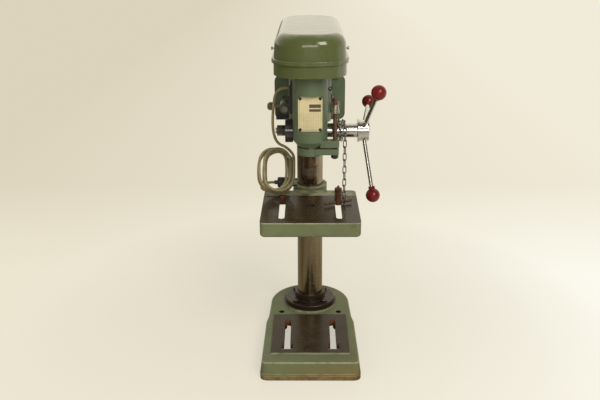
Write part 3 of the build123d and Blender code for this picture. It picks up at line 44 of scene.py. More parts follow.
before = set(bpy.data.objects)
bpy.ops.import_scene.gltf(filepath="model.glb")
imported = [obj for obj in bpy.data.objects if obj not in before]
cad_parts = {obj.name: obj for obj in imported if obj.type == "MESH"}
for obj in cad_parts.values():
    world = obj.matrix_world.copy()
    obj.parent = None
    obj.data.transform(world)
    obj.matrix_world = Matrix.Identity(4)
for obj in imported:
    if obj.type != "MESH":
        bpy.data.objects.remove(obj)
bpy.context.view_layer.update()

# Places on the machine that its finishes follow, in metres
SPINDLE_Y = -0.185
TABLE_TOP_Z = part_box("table")[1][2]
TABLE_REAR_Y = -0.065
TABLE_SLOT_X = 0.070
TABLE_SLOT_HALF = 0.0088
TABLE_SLOT_Y = (-0.280, -0.100)
TABLE_HOLE_R = 0.01483
BASE_DECK_Z = 0.050
BASE_PAD_Z = 0.055
BASE_LIP_Z = 0.0135
BASE_SLOT_X = 0.060
BASE_SLOT_HALF = 0.0155
BASE_SLOT_Y = (-0.274, -0.115)
BENCH_HOLE_X = 0.080
BENCH_HOLE_Y = -0.066
BENCH_HOLE_R = 0.008
CHUCK_BAND_Z = (0.4975, 0.5155)


class Val:
    """A number socket that takes part in Python sums and adds its Math nodes."""

    def __init__(self, finish, socket):
        self.finish = finish
        self.socket = socket

    def _sum(self, operation, first, second):
        settings = {"operation": operation}
        return self.finish.node("ShaderNodeMath", settings, {0: first, 1: second})

    def __add__(self, other):
        return self._sum("ADD", self, other)

    def __radd__(self, other):
        return self._sum("ADD", other, self)

    def __sub__(self, other):
        return self._sum("SUBTRACT", self, other)

    def __rsub__(self, other):
        return self._sum("SUBTRACT", other, self)

    def __mul__(self, other):
        return self._sum("MULTIPLY", self, other)

    def __rmul__(self, other):
        return self._sum("MULTIPLY", other, self)

    def above(self, edge, width=0.0005):
        """0 below the edge and 1 above it, soft over the width."""
        return self.clamp(edge - width / 2, edge + width / 2)

    def below(self, edge, width=0.0005):
        """1 below the edge and 0 above it, soft over the width."""
        return 1 - self.above(edge, width)

    def clamp(self, low=0.0, high=1.0, to_low=0.0, to_high=1.0):
        """This value moved from one span to another and held inside it."""
        sockets = {"Value": self, "From Min": low, "From Max": high, "To Min": to_low, "To Max": to_high}
        return self.finish.node("ShaderNodeMapRange", {"clamp": True}, sockets)

    def smaller(self, other):
        return self._sum("MINIMUM", self, other)

    def larger(self, other):
        return self._sum("MAXIMUM", self, other)

    def wave(self):
        return self.finish.node("ShaderNodeMath", {"operation": "SINE"}, {0: self})

    def size(self):
        return self.finish.node("ShaderNodeMath", {"operation": "ABSOLUTE"}, {0: self})


class Finish:
    """One material, or the world: its nodes, its coordinates and its shader."""

    def __init__(self, name, world=False):
        self.material = bpy.data.worlds.new(name) if world else bpy.data.materials.new(name)
        self.material.use_nodes = True
        self.tree = self.material.node_tree
        self.tree.nodes.clear()
        self.output = self.tree.nodes.new("ShaderNodeOutputWorld" if world else "ShaderNodeOutputMaterial")
        self.shader = self.tree.nodes.new("ShaderNodeBackground" if world else "ShaderNodeBsdfPrincipled")
        self.tree.links.new(self.shader.outputs[0], self.output.inputs["Surface"])
        self.made = {}

    def node(self, kind, settings, sockets, out=0):
        """Adds a node, sets it up, feeds its sockets and returns one output."""
        node = self.tree.nodes.new(kind)
        for key, value in settings.items():
            if key == "stops":
                self.set_stops(node.color_ramp, value)
            else:
                setattr(node, key, value)
        for key, value in sockets.items():
            self.feed(node.inputs[key], value)
        return Val(self, node.outputs[out])

    @staticmethod
    def set_stops(ramp, stops):
        while len(ramp.elements) < len(stops):
            ramp.elements.new(1.0)
        for element, (place, colour) in zip(ramp.elements, stops):
            element.position = place
            element.color = (*colour, 1.0)

    def feed(self, socket, value):
        if isinstance(value, Val):
            self.tree.links.new(value.socket, socket)
        elif isinstance(value, (tuple, list)) and len(value) == 3 and socket.type == "RGBA":
            socket.default_value = (*value, 1.0)
        else:
            socket.default_value = value

    def once(self, key, make):
        if key not in self.made:
            self.made[key] = make()
        return self.made[key]

    def place(self):
        """The object's own coordinates, in metres."""
        return self.once("place", lambda: self.node("ShaderNodeTexCoord", {}, {}, "Object"))

    def axis(self, letter):
        """One coordinate of the place, in metres."""
        split = {"X": 0, "Y": 1, "Z": 2}[letter]
        return self.once(letter, lambda: self.node("ShaderNodeSeparateXYZ", {}, {0: self.place()}, split))

    def facing(self, letter):
        """One part of the surface's true direction."""
        split = {"X": 0, "Y": 1, "Z": 2}[letter]

        def make():
            normal = self.node("ShaderNodeNewGeometry", {}, {}, "True Normal")
            return self.node("ShaderNodeSeparateXYZ", {}, {0: normal}, split)

        return self.once("facing" + letter, make)

    def moved(self, scale, offset=(0.0, 0.0, 0.0)):
        """The place scaled along each axis and shifted."""
        sockets = {"Vector": self.place(), "Scale": scale, "Location": offset}
        return self.node("ShaderNodeMapping", {}, sockets)

    def noise(self, scale, detail=3.0, rough=0.55, stretch=None, warp=0.0):
        """Cloudy value from 0 to 1."""
        where = self.place() if stretch is None else self.moved(stretch)
        sockets = {"Vector": where, "Scale": scale, "Detail": detail, "Roughness": rough, "Distortion": warp}
        return self.node("ShaderNodeTexNoise", {}, sockets)

    def ray(self, kind):
        """1 for rays of the kind, Camera or Glossy, and 0 for the light that falls on the object."""
        return self.node("ShaderNodeLightPath", {}, {}, "Is " + kind + " Ray")

    def mix(self, mask, first, second):
        """The first colour where the mask is 0 and the second where it is 1."""
        settings = {"data_type": "RGBA", "blend_type": "MIX"}
        return self.node("ShaderNodeMix", settings, {0: mask, 6: first, 7: second}, 2)

    def round_normal(self, radius):
        """Surface direction with edges rounded by the radius."""
        return self.once("round", lambda: self.node("ShaderNodeBevel", {"samples": 6}, {"Radius": radius}))

    def edges(self, radius, gain=3.0):
        """1 along sharp edges and 0 on flats."""
        normal = self.node("ShaderNodeNewGeometry", {}, {}, "Normal")
        sockets = {0: self.round_normal(radius), 1: normal}
        dot = self.node("ShaderNodeVectorMath", {"operation": "DOT_PRODUCT"}, sockets, "Value")
        return ((1 - dot) * gain).clamp()

    def bump(self, height, depth, strength=1.0, under=None):
        """Fine relief, on top of rounded edges where given."""
        sockets = {"Height": height, "Distance": depth, "Strength": strength}
        if under is not None:
            sockets["Normal"] = under
        self.feed(self.shader.inputs["Normal"], self.node("ShaderNodeBump", {}, sockets))

    def set(self, **values):
        """Feeds the shader's own sockets."""
        for key, value in values.items():
            self.feed(self.shader.inputs[key.replace("_", " ").title().replace("Ior", "IOR")], value)
        return self


def paint_value(name, description, default):
    """A colour that a user can change."""
    return FloatVectorProperty(name=name, description=description, default=default, size=3,
                               min=0.0, max=1.0, subtype="COLOR")


def length_value(name, description, metres_long):
    """A length that a user can change."""
    return FloatProperty(name=name, description=description, default=metres_long, min=0.0, unit="LENGTH")


def angle_value(name, description, degrees):
    """An angle that a user can change."""
    return FloatProperty(name=name, description=description, default=math.radians(degrees), subtype="ANGLE")


def power_value(name, description, watts):
    """A lamp's power that a user can change."""
    return FloatProperty(name=name, description=description, default=watts, min=0.0, unit="POWER")


class PressPaint(bpy.types.PropertyGroup):
    """Colours of the machine's finishes."""

    casting: paint_value("Casting paint", "Grey-green paint of the head and motor", (0.105, 0.145, 0.082))
    stand: paint_value("Stand paint", "Sun-yellowed paint of the table and base", (0.170, 0.194, 0.104))
    cover: paint_value("Cover paint", "Olive enamel of the belt cover", (0.082, 0.099, 0.034))
    iron: paint_value("Machined iron", "Dark oiled iron of the table and base", (0.034, 0.023, 0.012))
    column: paint_value("Column steel", "Bare ground steel of the column", (0.33, 0.268, 0.170))
    ball: paint_value("Ball knobs", "Maroon moulding of the ball knobs", (0.17, 0.014, 0.012))
    plate: paint_value("Nameplate", "Cream lacquer of the nameplate", (0.68, 0.60, 0.37))
    flex: paint_value("Mains lead", "Grey-beige jacket of the mains lead", (0.30, 0.250, 0.125))
    rust: paint_value("Rust", "Brown rust on bare iron", (0.13, 0.052, 0.022))


class PressLead(bpy.types.PropertyGroup):
    """Sizes of the mains lead and its hank."""

    diameter: length_value("Diameter", "Outside of the lead", 0.007)
    loops: IntProperty(name="Loops", description="Full loops in the hank", default=5, min=1)
    mean: length_value("Mean radius", "Mean distance of a run from the middle", 0.037)
    fan: length_value("Fan", "How far the runs differ from the mean", 0.010)
    height: length_value("Half height", "Mean half height of a loop", 0.054)
    height_fan: length_value("Height fan", "How far the loops' heights differ", 0.003)
    step: length_value("Turn step", "Depth from one loop to the next", 0.0081)
    start: length_value("Start", "Height at which the first run starts", 0.012)
    fan_angle: angle_value("Fan angle", "Sets each run apart from the others", 137.5)
    lean: angle_value("Lean", "How far the hank leans back", 24.0)
    place: FloatVectorProperty(name="Place", description="Middle of the hank, as seen from above", size=2,
                               subtype="TRANSLATION", default=(-0.088, -0.098))
    clear: length_value("Clearance", "Free space over the table", 0.0003)


class PressStage(bpy.types.PropertyGroup):
    """Camera, light and floor."""

    camera: FloatVectorProperty(name="Camera", description="Place of the camera", size=3,
                                subtype="TRANSLATION", default=(-0.006, -1.875, 1.037))
    pitch: angle_value("Pitch", "Camera's angle below level", 19.8)
    yaw: angle_value("Yaw", "Camera's turn to the left", 0.66)
    roll: angle_value("Roll", "Camera's tilt to the left", -0.3)
    lens: FloatProperty(name="Lens", description="Focal length on a 36 mm frame", default=43.2, unit="CAMERA")
    floor: paint_value("Floor", "Pale floor", (0.84, 0.79, 0.66))
    dim: paint_value("Dim floor", "Floor in reflections on the left and in front", (0.12, 0.10, 0.07))
    near_left: paint_value("Near left", "Pale floor close by on the left", (0.84, 0.78, 0.63))
    near_right: paint_value("Near right", "Pale floor close by on the right", (0.97, 0.95, 0.85))
    backdrop_left: paint_value("Backdrop left", "Pale distance on the left", (0.72, 0.655, 0.505))
    backdrop_right: paint_value("Backdrop right", "Pale distance on the right", (0.88, 0.83, 0.69))
    key: power_value("Key light", "Power of the lamp at the right", 58.0)
    fill: power_value("Fill light", "Power of the lamp at the left", 10.0)
    front: power_value("Front light", "Power of the lamp by the camera", 9.0)
    back: power_value("Back light", "Power of the lamp behind", 16.0)


def dress(finish, *nodes):
    """Puts one finish on CAD nodes."""
    for name in nodes:
        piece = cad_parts[name]
        piece.data.materials.clear()
        piece.data.materials.append(finish.material)


class PRESS_OT_castings(bpy.types.Operator):
    """Grey-green casting paint on the head, motor and collars"""

    bl_idname = "press.castings"
    bl_label = "Casting paint"

    def execute(self, context):
        paint = context.scene.press_paint
        f = Finish("casting_paint")
        cast_paint(f, paint, paint.casting, 0.6)
        dress(f, "head_casting", "motor_plate", "motor_shell", "motor_end_bells", "stop_collar",
              "table_collar")
        return {"FINISHED"}


def cast_paint(f, paint, tone, rubbed):
    """Brushed-on casting paint with orange peel, grime and worn edges; returns its colour and roughness."""
    cloud = f.noise(9.0, 4.0)
    fine = f.noise(900.0, 2.0)
    peel = f.noise(260.0, 2.0)
    base = tuple(tone)
    dull = tuple(c * 0.72 + 0.012 for c in base)
    colour = f.mix(cloud.clamp(0.35, 0.7), base, dull)
    grime = f.noise(34.0, 5.0, 0.65, warp=0.6).clamp(0.56, 0.80)
    colour = f.mix(grime * 0.45, colour, (0.055, 0.048, 0.024))
    edge = f.edges(0.0016, 2.2) * f.noise(70.0, 4.0, 0.7).clamp(0.42, 0.62)
    wear = (edge * rubbed).clamp()
    colour = f.mix(wear, colour, (0.27, 0.26, 0.17))
    chip = f.noise(120.0, 3.0, 0.7).clamp(0.70, 0.735)
    colour = f.mix(chip * 0.7, colour, tuple(paint.rust))
    rough = 0.36 + cloud * 0.12 + grime * 0.18 + chip * 0.2
    f.set(base_color=colour, roughness=rough, coat_weight=0.12, coat_roughness=0.2)
    f.bump(peel * 0.7 + fine * 0.15 - chip * 0.8, 0.00035, 0.5, f.round_normal(0.0016))
    return colour, rough


class PRESS_OT_cover(bpy.types.Operator):
    """Glossy olive enamel on the belt cover"""

    bl_idname = "press.cover"
    bl_label = "Cover enamel"

    def execute(self, context):
        paint = context.scene.press_paint
        f = Finish("cover_enamel")
        cloud = f.noise(6.0, 3.0)
        base = tuple(paint.cover)
        pale = tuple(c * 1.12 + 0.006 for c in base)
        colour = f.mix(cloud.clamp(0.35, 0.7), base, pale)
        dust = f.facing("Z").clamp(0.6, 1.0) * f.noise(26.0, 5.0, 0.65).clamp(0.35, 0.75)
        colour = f.mix(dust * 0.45, colour, (0.42, 0.39, 0.27))
        scratch = f.noise(60.0, 2.0, 0.5, (1.0, 14.0, 5.0)).clamp(0.69, 0.74)
        colour = f.mix(scratch * 0.25, colour, (0.20, 0.21, 0.12))
        # Pale edges along the rims and flanges: partly rubbed paint, partly a painted highlight.
        rub_and_highlight = f.edges(0.0020, 2.5) * f.noise(60.0, 3.0).clamp(0.30, 0.60)
        colour = f.mix(rub_and_highlight * 0.6, colour, (0.42, 0.43, 0.28))
        rough = 0.15 + dust * 0.08 + cloud * 0.06 + scratch * 0.2
        f.set(base_color=colour, roughness=rough, specular_ior_level=0.3)
        f.set(coat_weight=0.6, coat_roughness=0.06)
        ripple = f.noise(30.0, 2.0) + f.noise(420.0, 2.0) * 0.05
        f.bump(ripple, 0.0012, 0.25, f.round_normal(0.0020))
        dress(f, "cover_pan", "cover_lid")
        return {"FINISHED"}


def slot_mask(f, x, half, span):
    """1 inside the outline of a pair of slots, one at either side, as seen from above."""
    across = (f.axis("X").size() - x).size().below(half, 0.0004)
    return across * f.axis("Y").above(span[0], 0.001) * f.axis("Y").below(span[1], 0.001)


def hole_mask(f, x, y, radius):
    """1 inside round holes, one at either side, as seen from above."""
    across = f.axis("X").size() - x
    along = f.axis("Y") - y
    return (across * across + along * along).below(radius * radius, radius * radius * 0.09)


def machined_iron(f, paint):
    """Oiled machined iron; returns its colour and roughness."""
    stain = f.noise(14.0, 5.0, 0.62, warp=0.8)
    drag = f.noise(55.0, 3.0, 0.6, (1.0, 26.0, 1.0))
    base = tuple(paint.iron)
    pale = tuple(c * 2.2 + 0.010 for c in base)
    colour = f.mix(drag.clamp(0.35, 0.75) * 0.6, base, pale)
    colour = f.mix(stain.clamp(0.5, 0.75) * 0.8, colour, (0.018, 0.012, 0.007))
    rust = f.noise(40.0, 5.0, 0.7).clamp(0.56, 0.72)
    colour = f.mix(rust * 0.35, colour, tuple(paint.rust))
    return colour, 0.16 + drag * 0.10 + stain * 0.08 + rust * 0.20


class PRESS_OT_table(bpy.types.Operator):
    """Machined table top with a painted apron, rear strip and primed slots"""

    bl_idname = "press.table"
    bl_label = "Table"

    def execute(self, context):
        paint = context.scene.press_paint
        f = Finish("table_iron_and_paint")
        painted, rough = cast_paint(f, paint, paint.stand, 0.5)
        iron, iron_rough = machined_iron(f, paint)
        flat = f.facing("Z").size().above(0.9, 0.1)
        height = f.axis("Z") - TABLE_TOP_Z
        top = flat * height.above(-0.0007, 0.0004)
        strip = flat * height.above(-0.005, 0.0004)
        colour = f.mix(strip * 0.7, painted, (0.055, 0.050, 0.028))
        colour = f.mix(top, colour, iron)
        in_slot = slot_mask(f, TABLE_SLOT_X, TABLE_SLOT_HALF, TABLE_SLOT_Y)
        wall = in_slot * height.below(-0.0008, 0.0004)
        colour = f.mix(wall * 0.85, colour, (0.075, 0.048, 0.030))
        colour = f.mix(wall * f.axis("Y").above(-0.15, 0.03) * 0.85, colour, (0.15, 0.030, 0.016))
        low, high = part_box("table")
        inner = f.axis("X").size().below(high[0] - 0.010, 0.001) * f.axis("Y").above(low[1] + 0.010, 0.001)
        inner = inner * f.axis("Y").below(TABLE_REAR_Y - 0.003, 0.001) * height.below(-0.006, 0.0004)
        colour = f.mix(inner * 0.9, colour, (0.075, 0.030, 0.018))
        hole = hole_mask(f, 0.0, SPINDLE_Y, TABLE_HOLE_R)
        colour = f.mix(hole * (1 - flat), colour, (0.030, 0.022, 0.014))
        # Pale band along the table's top edges: partly wear, partly a painted highlight.
        rim_wear_and_highlight = height.above(-0.0028, 0.0012) * (1 - top) * (1 - in_slot) * (1 - hole)
        colour = f.mix(rim_wear_and_highlight * f.noise(50.0, 3.0).clamp(0.30, 0.55) * 0.8, colour, (0.40, 0.40, 0.27))
        rough = rough * (1 - top) + iron_rough * top
        f.set(base_color=colour, roughness=rough, coat_weight=top * 0.10, specular_ior_level=0.10)
        dress(f, "table")
        return {"FINISHED"}


class PRESS_OT_base(bpy.types.Operator):
    """Painted base with a machined pad and a rusty foot lip"""

    bl_idname = "press.base"
    bl_label = "Base"

    def execute(self, context):
        paint = context.scene.press_paint
        f = Finish("base_iron_and_paint")
        painted, rough = cast_paint(f, paint, paint.stand, 0.6)
        iron, iron_rough = machined_iron(f, paint)
        flat = f.facing("Z").size().above(0.9, 0.1)
        pad = flat * f.axis("Z").above(BASE_PAD_Z - 0.0015, 0.0004)
        low = f.axis("Z").below(0.040, 0.030) * (f.axis("X") + f.noise(9.0, 3.0) * 0.10).clamp(-0.06, 0.16)
        colour = f.mix(low * 0.75, painted, (0.215, 0.165, 0.062))
        lip_edge = BASE_LIP_Z - 0.007 + f.noise(22.0, 4.0, 0.7) * 0.014
        lip = (lip_edge - f.axis("Z")).above(0.0, 0.004)
        brown = f.mix(f.noise(60.0, 4.0).clamp(0.35, 0.7), (0.22, 0.155, 0.062), tuple(paint.rust))
        colour = f.mix(lip * 0.75, colour, brown)
        towards_corner = f.axis("X") * 1.5 - f.axis("Y") - f.axis("Z")
        corner = (towards_corner + f.noise(26.0, 4.0, 0.7) * 0.12).above(0.560, 0.05)
        colour = f.mix(corner * 0.7, colour, (0.10, 0.052, 0.024))
        # Pale line along the deck's top edge: partly wear, partly a painted highlight.
        wear_and_highlight = f.noise(40.0, 3.0).clamp(0.28, 0.55) * (1 - flat)
        bolt_hole = hole_mask(f, BENCH_HOLE_X, BENCH_HOLE_Y, BENCH_HOLE_R)
        rim_wear_and_highlight = f.axis("Z").above(BASE_DECK_Z - 0.004, 0.002) * wear_and_highlight * (1 - bolt_hole)
        colour = f.mix(rim_wear_and_highlight * 0.7, colour, (0.36, 0.37, 0.25))
        # Pale yellowish line along the top of the foot lip: partly wear, partly a painted highlight.
        above_lip = f.axis("Z") - BASE_LIP_Z
        ledge_wear_and_highlight = above_lip.above(-0.001, 0.002) * above_lip.below(0.0035, 0.002) * wear_and_highlight
        colour = f.mix(ledge_wear_and_highlight * 0.6, colour, (0.44, 0.38, 0.22))
        colour = f.mix(bolt_hole * (1 - flat), colour, (0.020, 0.016, 0.010))
        colour = f.mix(pad, colour, iron)
        in_slot = slot_mask(f, BASE_SLOT_X, BASE_SLOT_HALF, BASE_SLOT_Y)
        wall = in_slot * (1 - flat) * f.axis("Z").above(0.03, 0.002)
        colour = f.mix(wall * 0.85, colour, (0.15, 0.030, 0.016))
        rough = rough * (1 - pad) + iron_rough * pad + lip * 0.25
        f.set(base_color=colour, roughness=rough, coat_weight=pad * 0.10, specular_ior_level=0.12)
        dress(f, "base")
        return {"FINISHED"}


class PRESS_OT_column(bpy.types.Operator):
    """Bare ground steel of the column, stained brown"""

    bl_idname = "press.column"
    bl_label = "Column"

    def execute(self, context):
        paint = context.scene.press_paint
        f = Finish("column_steel")
        ground = f.noise(60.0, 3.0, 0.6, (1.0, 1.0, 40.0))
        drip = f.noise(30.0, 4.0, 0.6, (1.0, 1.0, 0.08))
        base = tuple(paint.column)
        colour = f.mix(ground.clamp(0.3, 0.7) * 0.5, base, tuple(c * 0.62 for c in base))
        colour = f.mix(drip.clamp(0.45, 0.70) * 0.7, colour, (0.085, 0.058, 0.028))
        spots = f.noise(110.0, 4.0, 0.7).clamp(0.60, 0.72)
        colour = f.mix(spots * 0.5, colour, tuple(paint.rust))
        rough = 0.14 + ground * 0.08 + drip * 0.10 + spots * 0.25
        f.set(base_color=colour, roughness=rough, metallic=1 - spots * 0.6)
        f.bump(ground * 0.4 + spots * 0.3, 0.00012, 0.4)
        dress(f, "column")
        return {"FINISHED"}


def rusty(name, paint, bright, thread=0.0):
    """Dark oiled iron with light rust, with thread rings where a pitch is given."""
    f = Finish(name)
    cloud = f.noise(45.0, 5.0, 0.65, warp=0.5)
    grain = f.noise(500.0, 3.0)
    edge = f.edges(0.0012, 2.5) * f.noise(120.0, 3.0).clamp(0.35, 0.6)
    colour = f.mix(cloud.clamp(0.38, 0.66), bright, tuple(paint.rust))
    colour = f.mix(cloud.clamp(0.62, 0.8) * 0.7, colour, (0.06, 0.03, 0.018))
    colour = f.mix(edge * 0.7, colour, (0.42, 0.38, 0.33))
    height = grain * 0.5 + cloud * 0.5
    if thread:
        height = height * 0.3 + (f.axis("Z") * (2 * math.pi / thread)).wave() * 0.8
    rough = 0.38 + cloud * 0.3 - edge * 0.15
    f.set(base_color=colour, roughness=rough, metallic=0.75 - cloud.clamp(0.4, 0.7) * 0.45)
    f.bump(height, 0.0004, 0.6, f.round_normal(0.0012))
    return f


class PRESS_OT_ironwork(bpy.types.Operator):
    """Dark flange, bolts and levers, rusty chuck key and depth rod"""

    bl_idname = "press.ironwork"
    bl_label = "Ironwork"

    def execute(self, context):
        paint = context.scene.press_paint
        dress(dark_steel("flange_iron", (0.050, 0.034, 0.022), shine=0.5), "column_flange", "flange_bolts")
        dress(rusty("key_iron", paint, (0.085, 0.046, 0.030)), "chuck_key")
        dress(rusty("rod_thread", paint, (0.135, 0.080, 0.052), 0.0015), "depth_rod")
        dress(dark_steel("bolt_black", (0.075, 0.068, 0.06)), "head_clamp_bolts", "table_clamp_bolt",
              "table_clamp_lever", "motor_bolts", "nameplate_screws", "chain_anchor", "return_spring",
              "depth_rod_nut")
        return {"FINISHED"}


def dark_steel(name, base, rings=False, shine=0.9):
    """Blackened steel, bright where it is rubbed."""
    f = Finish(name)
    cloud = f.noise(70.0, 4.0, 0.6)
    turn = f.noise(900.0, 2.0, 0.5, (0.02, 0.02, 1.0)) if rings else f.noise(600.0, 2.0)
    edge = f.edges(0.0009, 3.0)
    colour = f.mix(cloud.clamp(0.4, 0.7), base, tuple(c * 0.5 for c in base))
    colour = f.mix(edge * 0.6, colour, (0.40, 0.36, 0.30))
    f.set(base_color=colour, roughness=0.18 + cloud * 0.2 + turn * 0.08, metallic=shine)
    f.bump(turn * 0.5 + cloud * 0.3, 0.00015, 0.5, f.round_normal(0.0009))
    return f


class PRESS_OT_chuck(bpy.types.Operator):
    """Dark chuck with a knurled sleeve"""

    bl_idname = "press.chuck"
    bl_label = "Chuck"

    def execute(self, context):
        body = dark_steel("chuck_steel", (0.17, 0.110, 0.066), True)
        dress(body, "chuck_body", "chuck_jaw_1", "chuck_jaw_2", "chuck_jaw_3")
        f = Finish("chuck_knurl")
        cloud = f.noise(70.0, 4.0, 0.6)
        sides = {0: f.axis("Y") - SPINDLE_Y, 1: f.axis("X")}
        angle = f.node("ShaderNodeMath", {"operation": "ARCTAN2"}, sides)
        twist = f.axis("Z") * 1900.0
        knurl = (angle * 38.0 + twist).wave().larger((angle * 38.0 - twist).wave())
        band = f.axis("Z").above(CHUCK_BAND_Z[0], 0.0006) * f.axis("Z").below(CHUCK_BAND_Z[1], 0.0006)
        colour = f.mix(cloud.clamp(0.4, 0.7), (0.16, 0.105, 0.064), (0.065, 0.044, 0.028))
        colour = f.mix(band * knurl.clamp(0.5, 1.0) * 0.5, colour, (0.30, 0.26, 0.21))
        f.set(base_color=colour, roughness=0.25 + cloud * 0.2, metallic=0.9)
        f.bump(knurl * band, 0.0003, 0.7, f.round_normal(0.0008))
        dress(f, "chuck_sleeve")
        return {"FINISHED"}


class PRESS_OT_bright(bpy.types.Operator):
    """Chrome feed gear, bright steel, chain, pulleys and the belt"""

    bl_idname = "press.bright"
    bl_label = "Bright metal"

    def execute(self, context):
        paint = context.scene.press_paint
        f = Finish("feed_chrome")
        smear = f.noise(55.0, 4.0, 0.6)
        pits = f.noise(240.0, 3.0, 0.7).clamp(0.66, 0.74)
        colour = f.mix(smear.clamp(0.4, 0.75) * 0.4, (0.72, 0.71, 0.68), (0.42, 0.39, 0.33))
        colour = f.mix(pits * 0.6, colour, tuple(paint.rust))
        f.set(base_color=colour, roughness=0.07 + smear * 0.12 + pits * 0.3, metallic=1 - pits * 0.5)
        f.bump(smear * 0.2 - pits * 0.4, 0.0002, 0.3, f.round_normal(0.0008))
        dress(f, "feed_sleeve", "feed_hub", "feed_arms")

        f = Finish("turned_steel")
        turn = f.noise(700.0, 2.0, 0.5, (0.05, 0.05, 1.0))
        film = f.noise(60.0, 4.0)
        colour = f.mix(film.clamp(0.4, 0.75), (0.50, 0.48, 0.44), (0.27, 0.24, 0.20))
        f.set(base_color=colour, roughness=0.22 + turn * 0.1 + film * 0.12, metallic=1.0)
        f.bump(turn, 0.0001, 0.4, f.round_normal(0.0007))
        dress(f, "quill", "quill_bearings", "pinion_shaft", "spindle", "drive_sleeve", "sleeve_bearings",
              "motor_shaft", "slide_bars", "lid_hinge_pins", "lid_grips")

        f = Finish("chain_zinc")
        dull = f.noise(160.0, 4.0, 0.65)
        colour = f.mix(dull.clamp(0.4, 0.7), (0.40, 0.38, 0.34), (0.13, 0.11, 0.09))
        colour = f.mix(dull.clamp(0.64, 0.74) * 0.6, colour, tuple(paint.rust))
        f.set(base_color=colour, roughness=0.26 + dull * 0.22, metallic=0.95)
        f.bump(dull, 0.0002, 0.4)
        dress(f, "key_chain")

        f = Finish("pulley_alloy")
        cast = f.noise(420.0, 3.0)
        film = f.noise(40.0, 4.0)
        colour = f.mix(film.clamp(0.4, 0.7), (0.60, 0.60, 0.59), (0.36, 0.35, 0.33))
        f.set(base_color=colour, roughness=0.34 + cast * 0.12, metallic=0.95)
        f.bump(cast, 0.0002, 0.4, f.round_normal(0.0008))
        dress(f, "spindle_pulley", "motor_pulley")

        f = Finish("belt_rubber")
        cloth = f.noise(700.0, 2.0, 0.5, (1.0, 1.0, 3.0))
        polish = f.noise(50.0, 3.0)
        colour = f.mix(polish.clamp(0.4, 0.7), (0.018, 0.018, 0.018), (0.045, 0.043, 0.04))
        f.set(base_color=colour, roughness=0.5 + cloth * 0.2)
        f.bump(cloth, 0.0003, 0.5)
        dress(f, "v_belt")

        f = Finish("stop_nut_plating")
        film = f.noise(130.0, 4.0, 0.6)
        colour = f.mix(film.clamp(0.38, 0.7), (0.66, 0.62, 0.50), (0.34, 0.30, 0.22))
        f.set(base_color=colour, roughness=0.24 + film * 0.2, metallic=1.0)
        f.bump(film, 0.0002, 0.4, f.round_normal(0.0007))
        dress(f, "depth_stop_nut")
        return {"FINISHED"}


class PRESS_OT_mouldings(bpy.types.Operator):
    """Ball knobs, black housings, switch, plug and brown mouldings"""

    bl_idname = "press.mouldings"
    bl_label = "Mouldings"

    def execute(self, context):
        paint = context.scene.press_paint
        f = Finish("ball_phenolic")
        swirl = f.noise(38.0, 4.0, 0.6, warp=1.2)
        haze = f.noise(300.0, 3.0)
        base = tuple(paint.ball)
        colour = f.mix(swirl.clamp(0.4, 0.75), base, tuple(c * 0.45 for c in base))
        f.set(base_color=colour, roughness=0.12 + swirl * 0.08 + haze * 0.05, specular_ior_level=0.3)
        f.bump(haze, 0.0001, 0.2)
        dress(f, "feed_balls")

        f = Finish("black_enamel")
        cloud = f.noise(60.0, 4.0)
        edge = f.edges(0.0012, 2.5) * f.noise(110.0, 3.0).clamp(0.35, 0.6)
        colour = f.mix(cloud.clamp(0.4, 0.7), (0.018, 0.018, 0.017), (0.045, 0.041, 0.036))
        colour = f.mix(edge * 0.7, colour, (0.22, 0.19, 0.16))
        f.set(base_color=colour, roughness=0.14 + cloud * 0.14, metallic=edge * 0.6)
        f.set(coat_weight=0.6, coat_roughness=0.06)
        f.bump(cloud, 0.0003, 0.4, f.round_normal(0.0012))
        dress(f, "spring_housing", "spring_nuts")

        f = Finish("black_moulding")
        grain = f.noise(800.0, 2.0)
        dust = f.noise(30.0, 4.0).clamp(0.45, 0.75)
        colour = f.mix(dust * 0.5, (0.026, 0.026, 0.025), (0.10, 0.095, 0.08))
        f.set(base_color=colour, roughness=0.42 + dust * 0.2)
        f.bump(grain, 0.0002, 0.4, f.round_normal(0.0012))
        dress(f, "terminal_box", "switch_box", "switch_toggle", "mains_plug")

        f = Finish("brown_phenolic")
        swirl = f.noise(90.0, 4.0, 0.6, warp=1.0)
        colour = f.mix(swirl.clamp(0.4, 0.7), (0.20, 0.155, 0.075), (0.10, 0.075, 0.035))
        f.set(base_color=colour, roughness=0.25 + swirl * 0.2, coat_weight=0.3)
        f.bump(swirl, 0.0002, 0.3, f.round_normal(0.0008))
        dress(f, "cord_gland", "tension_knob")
        return {"FINISHED"}


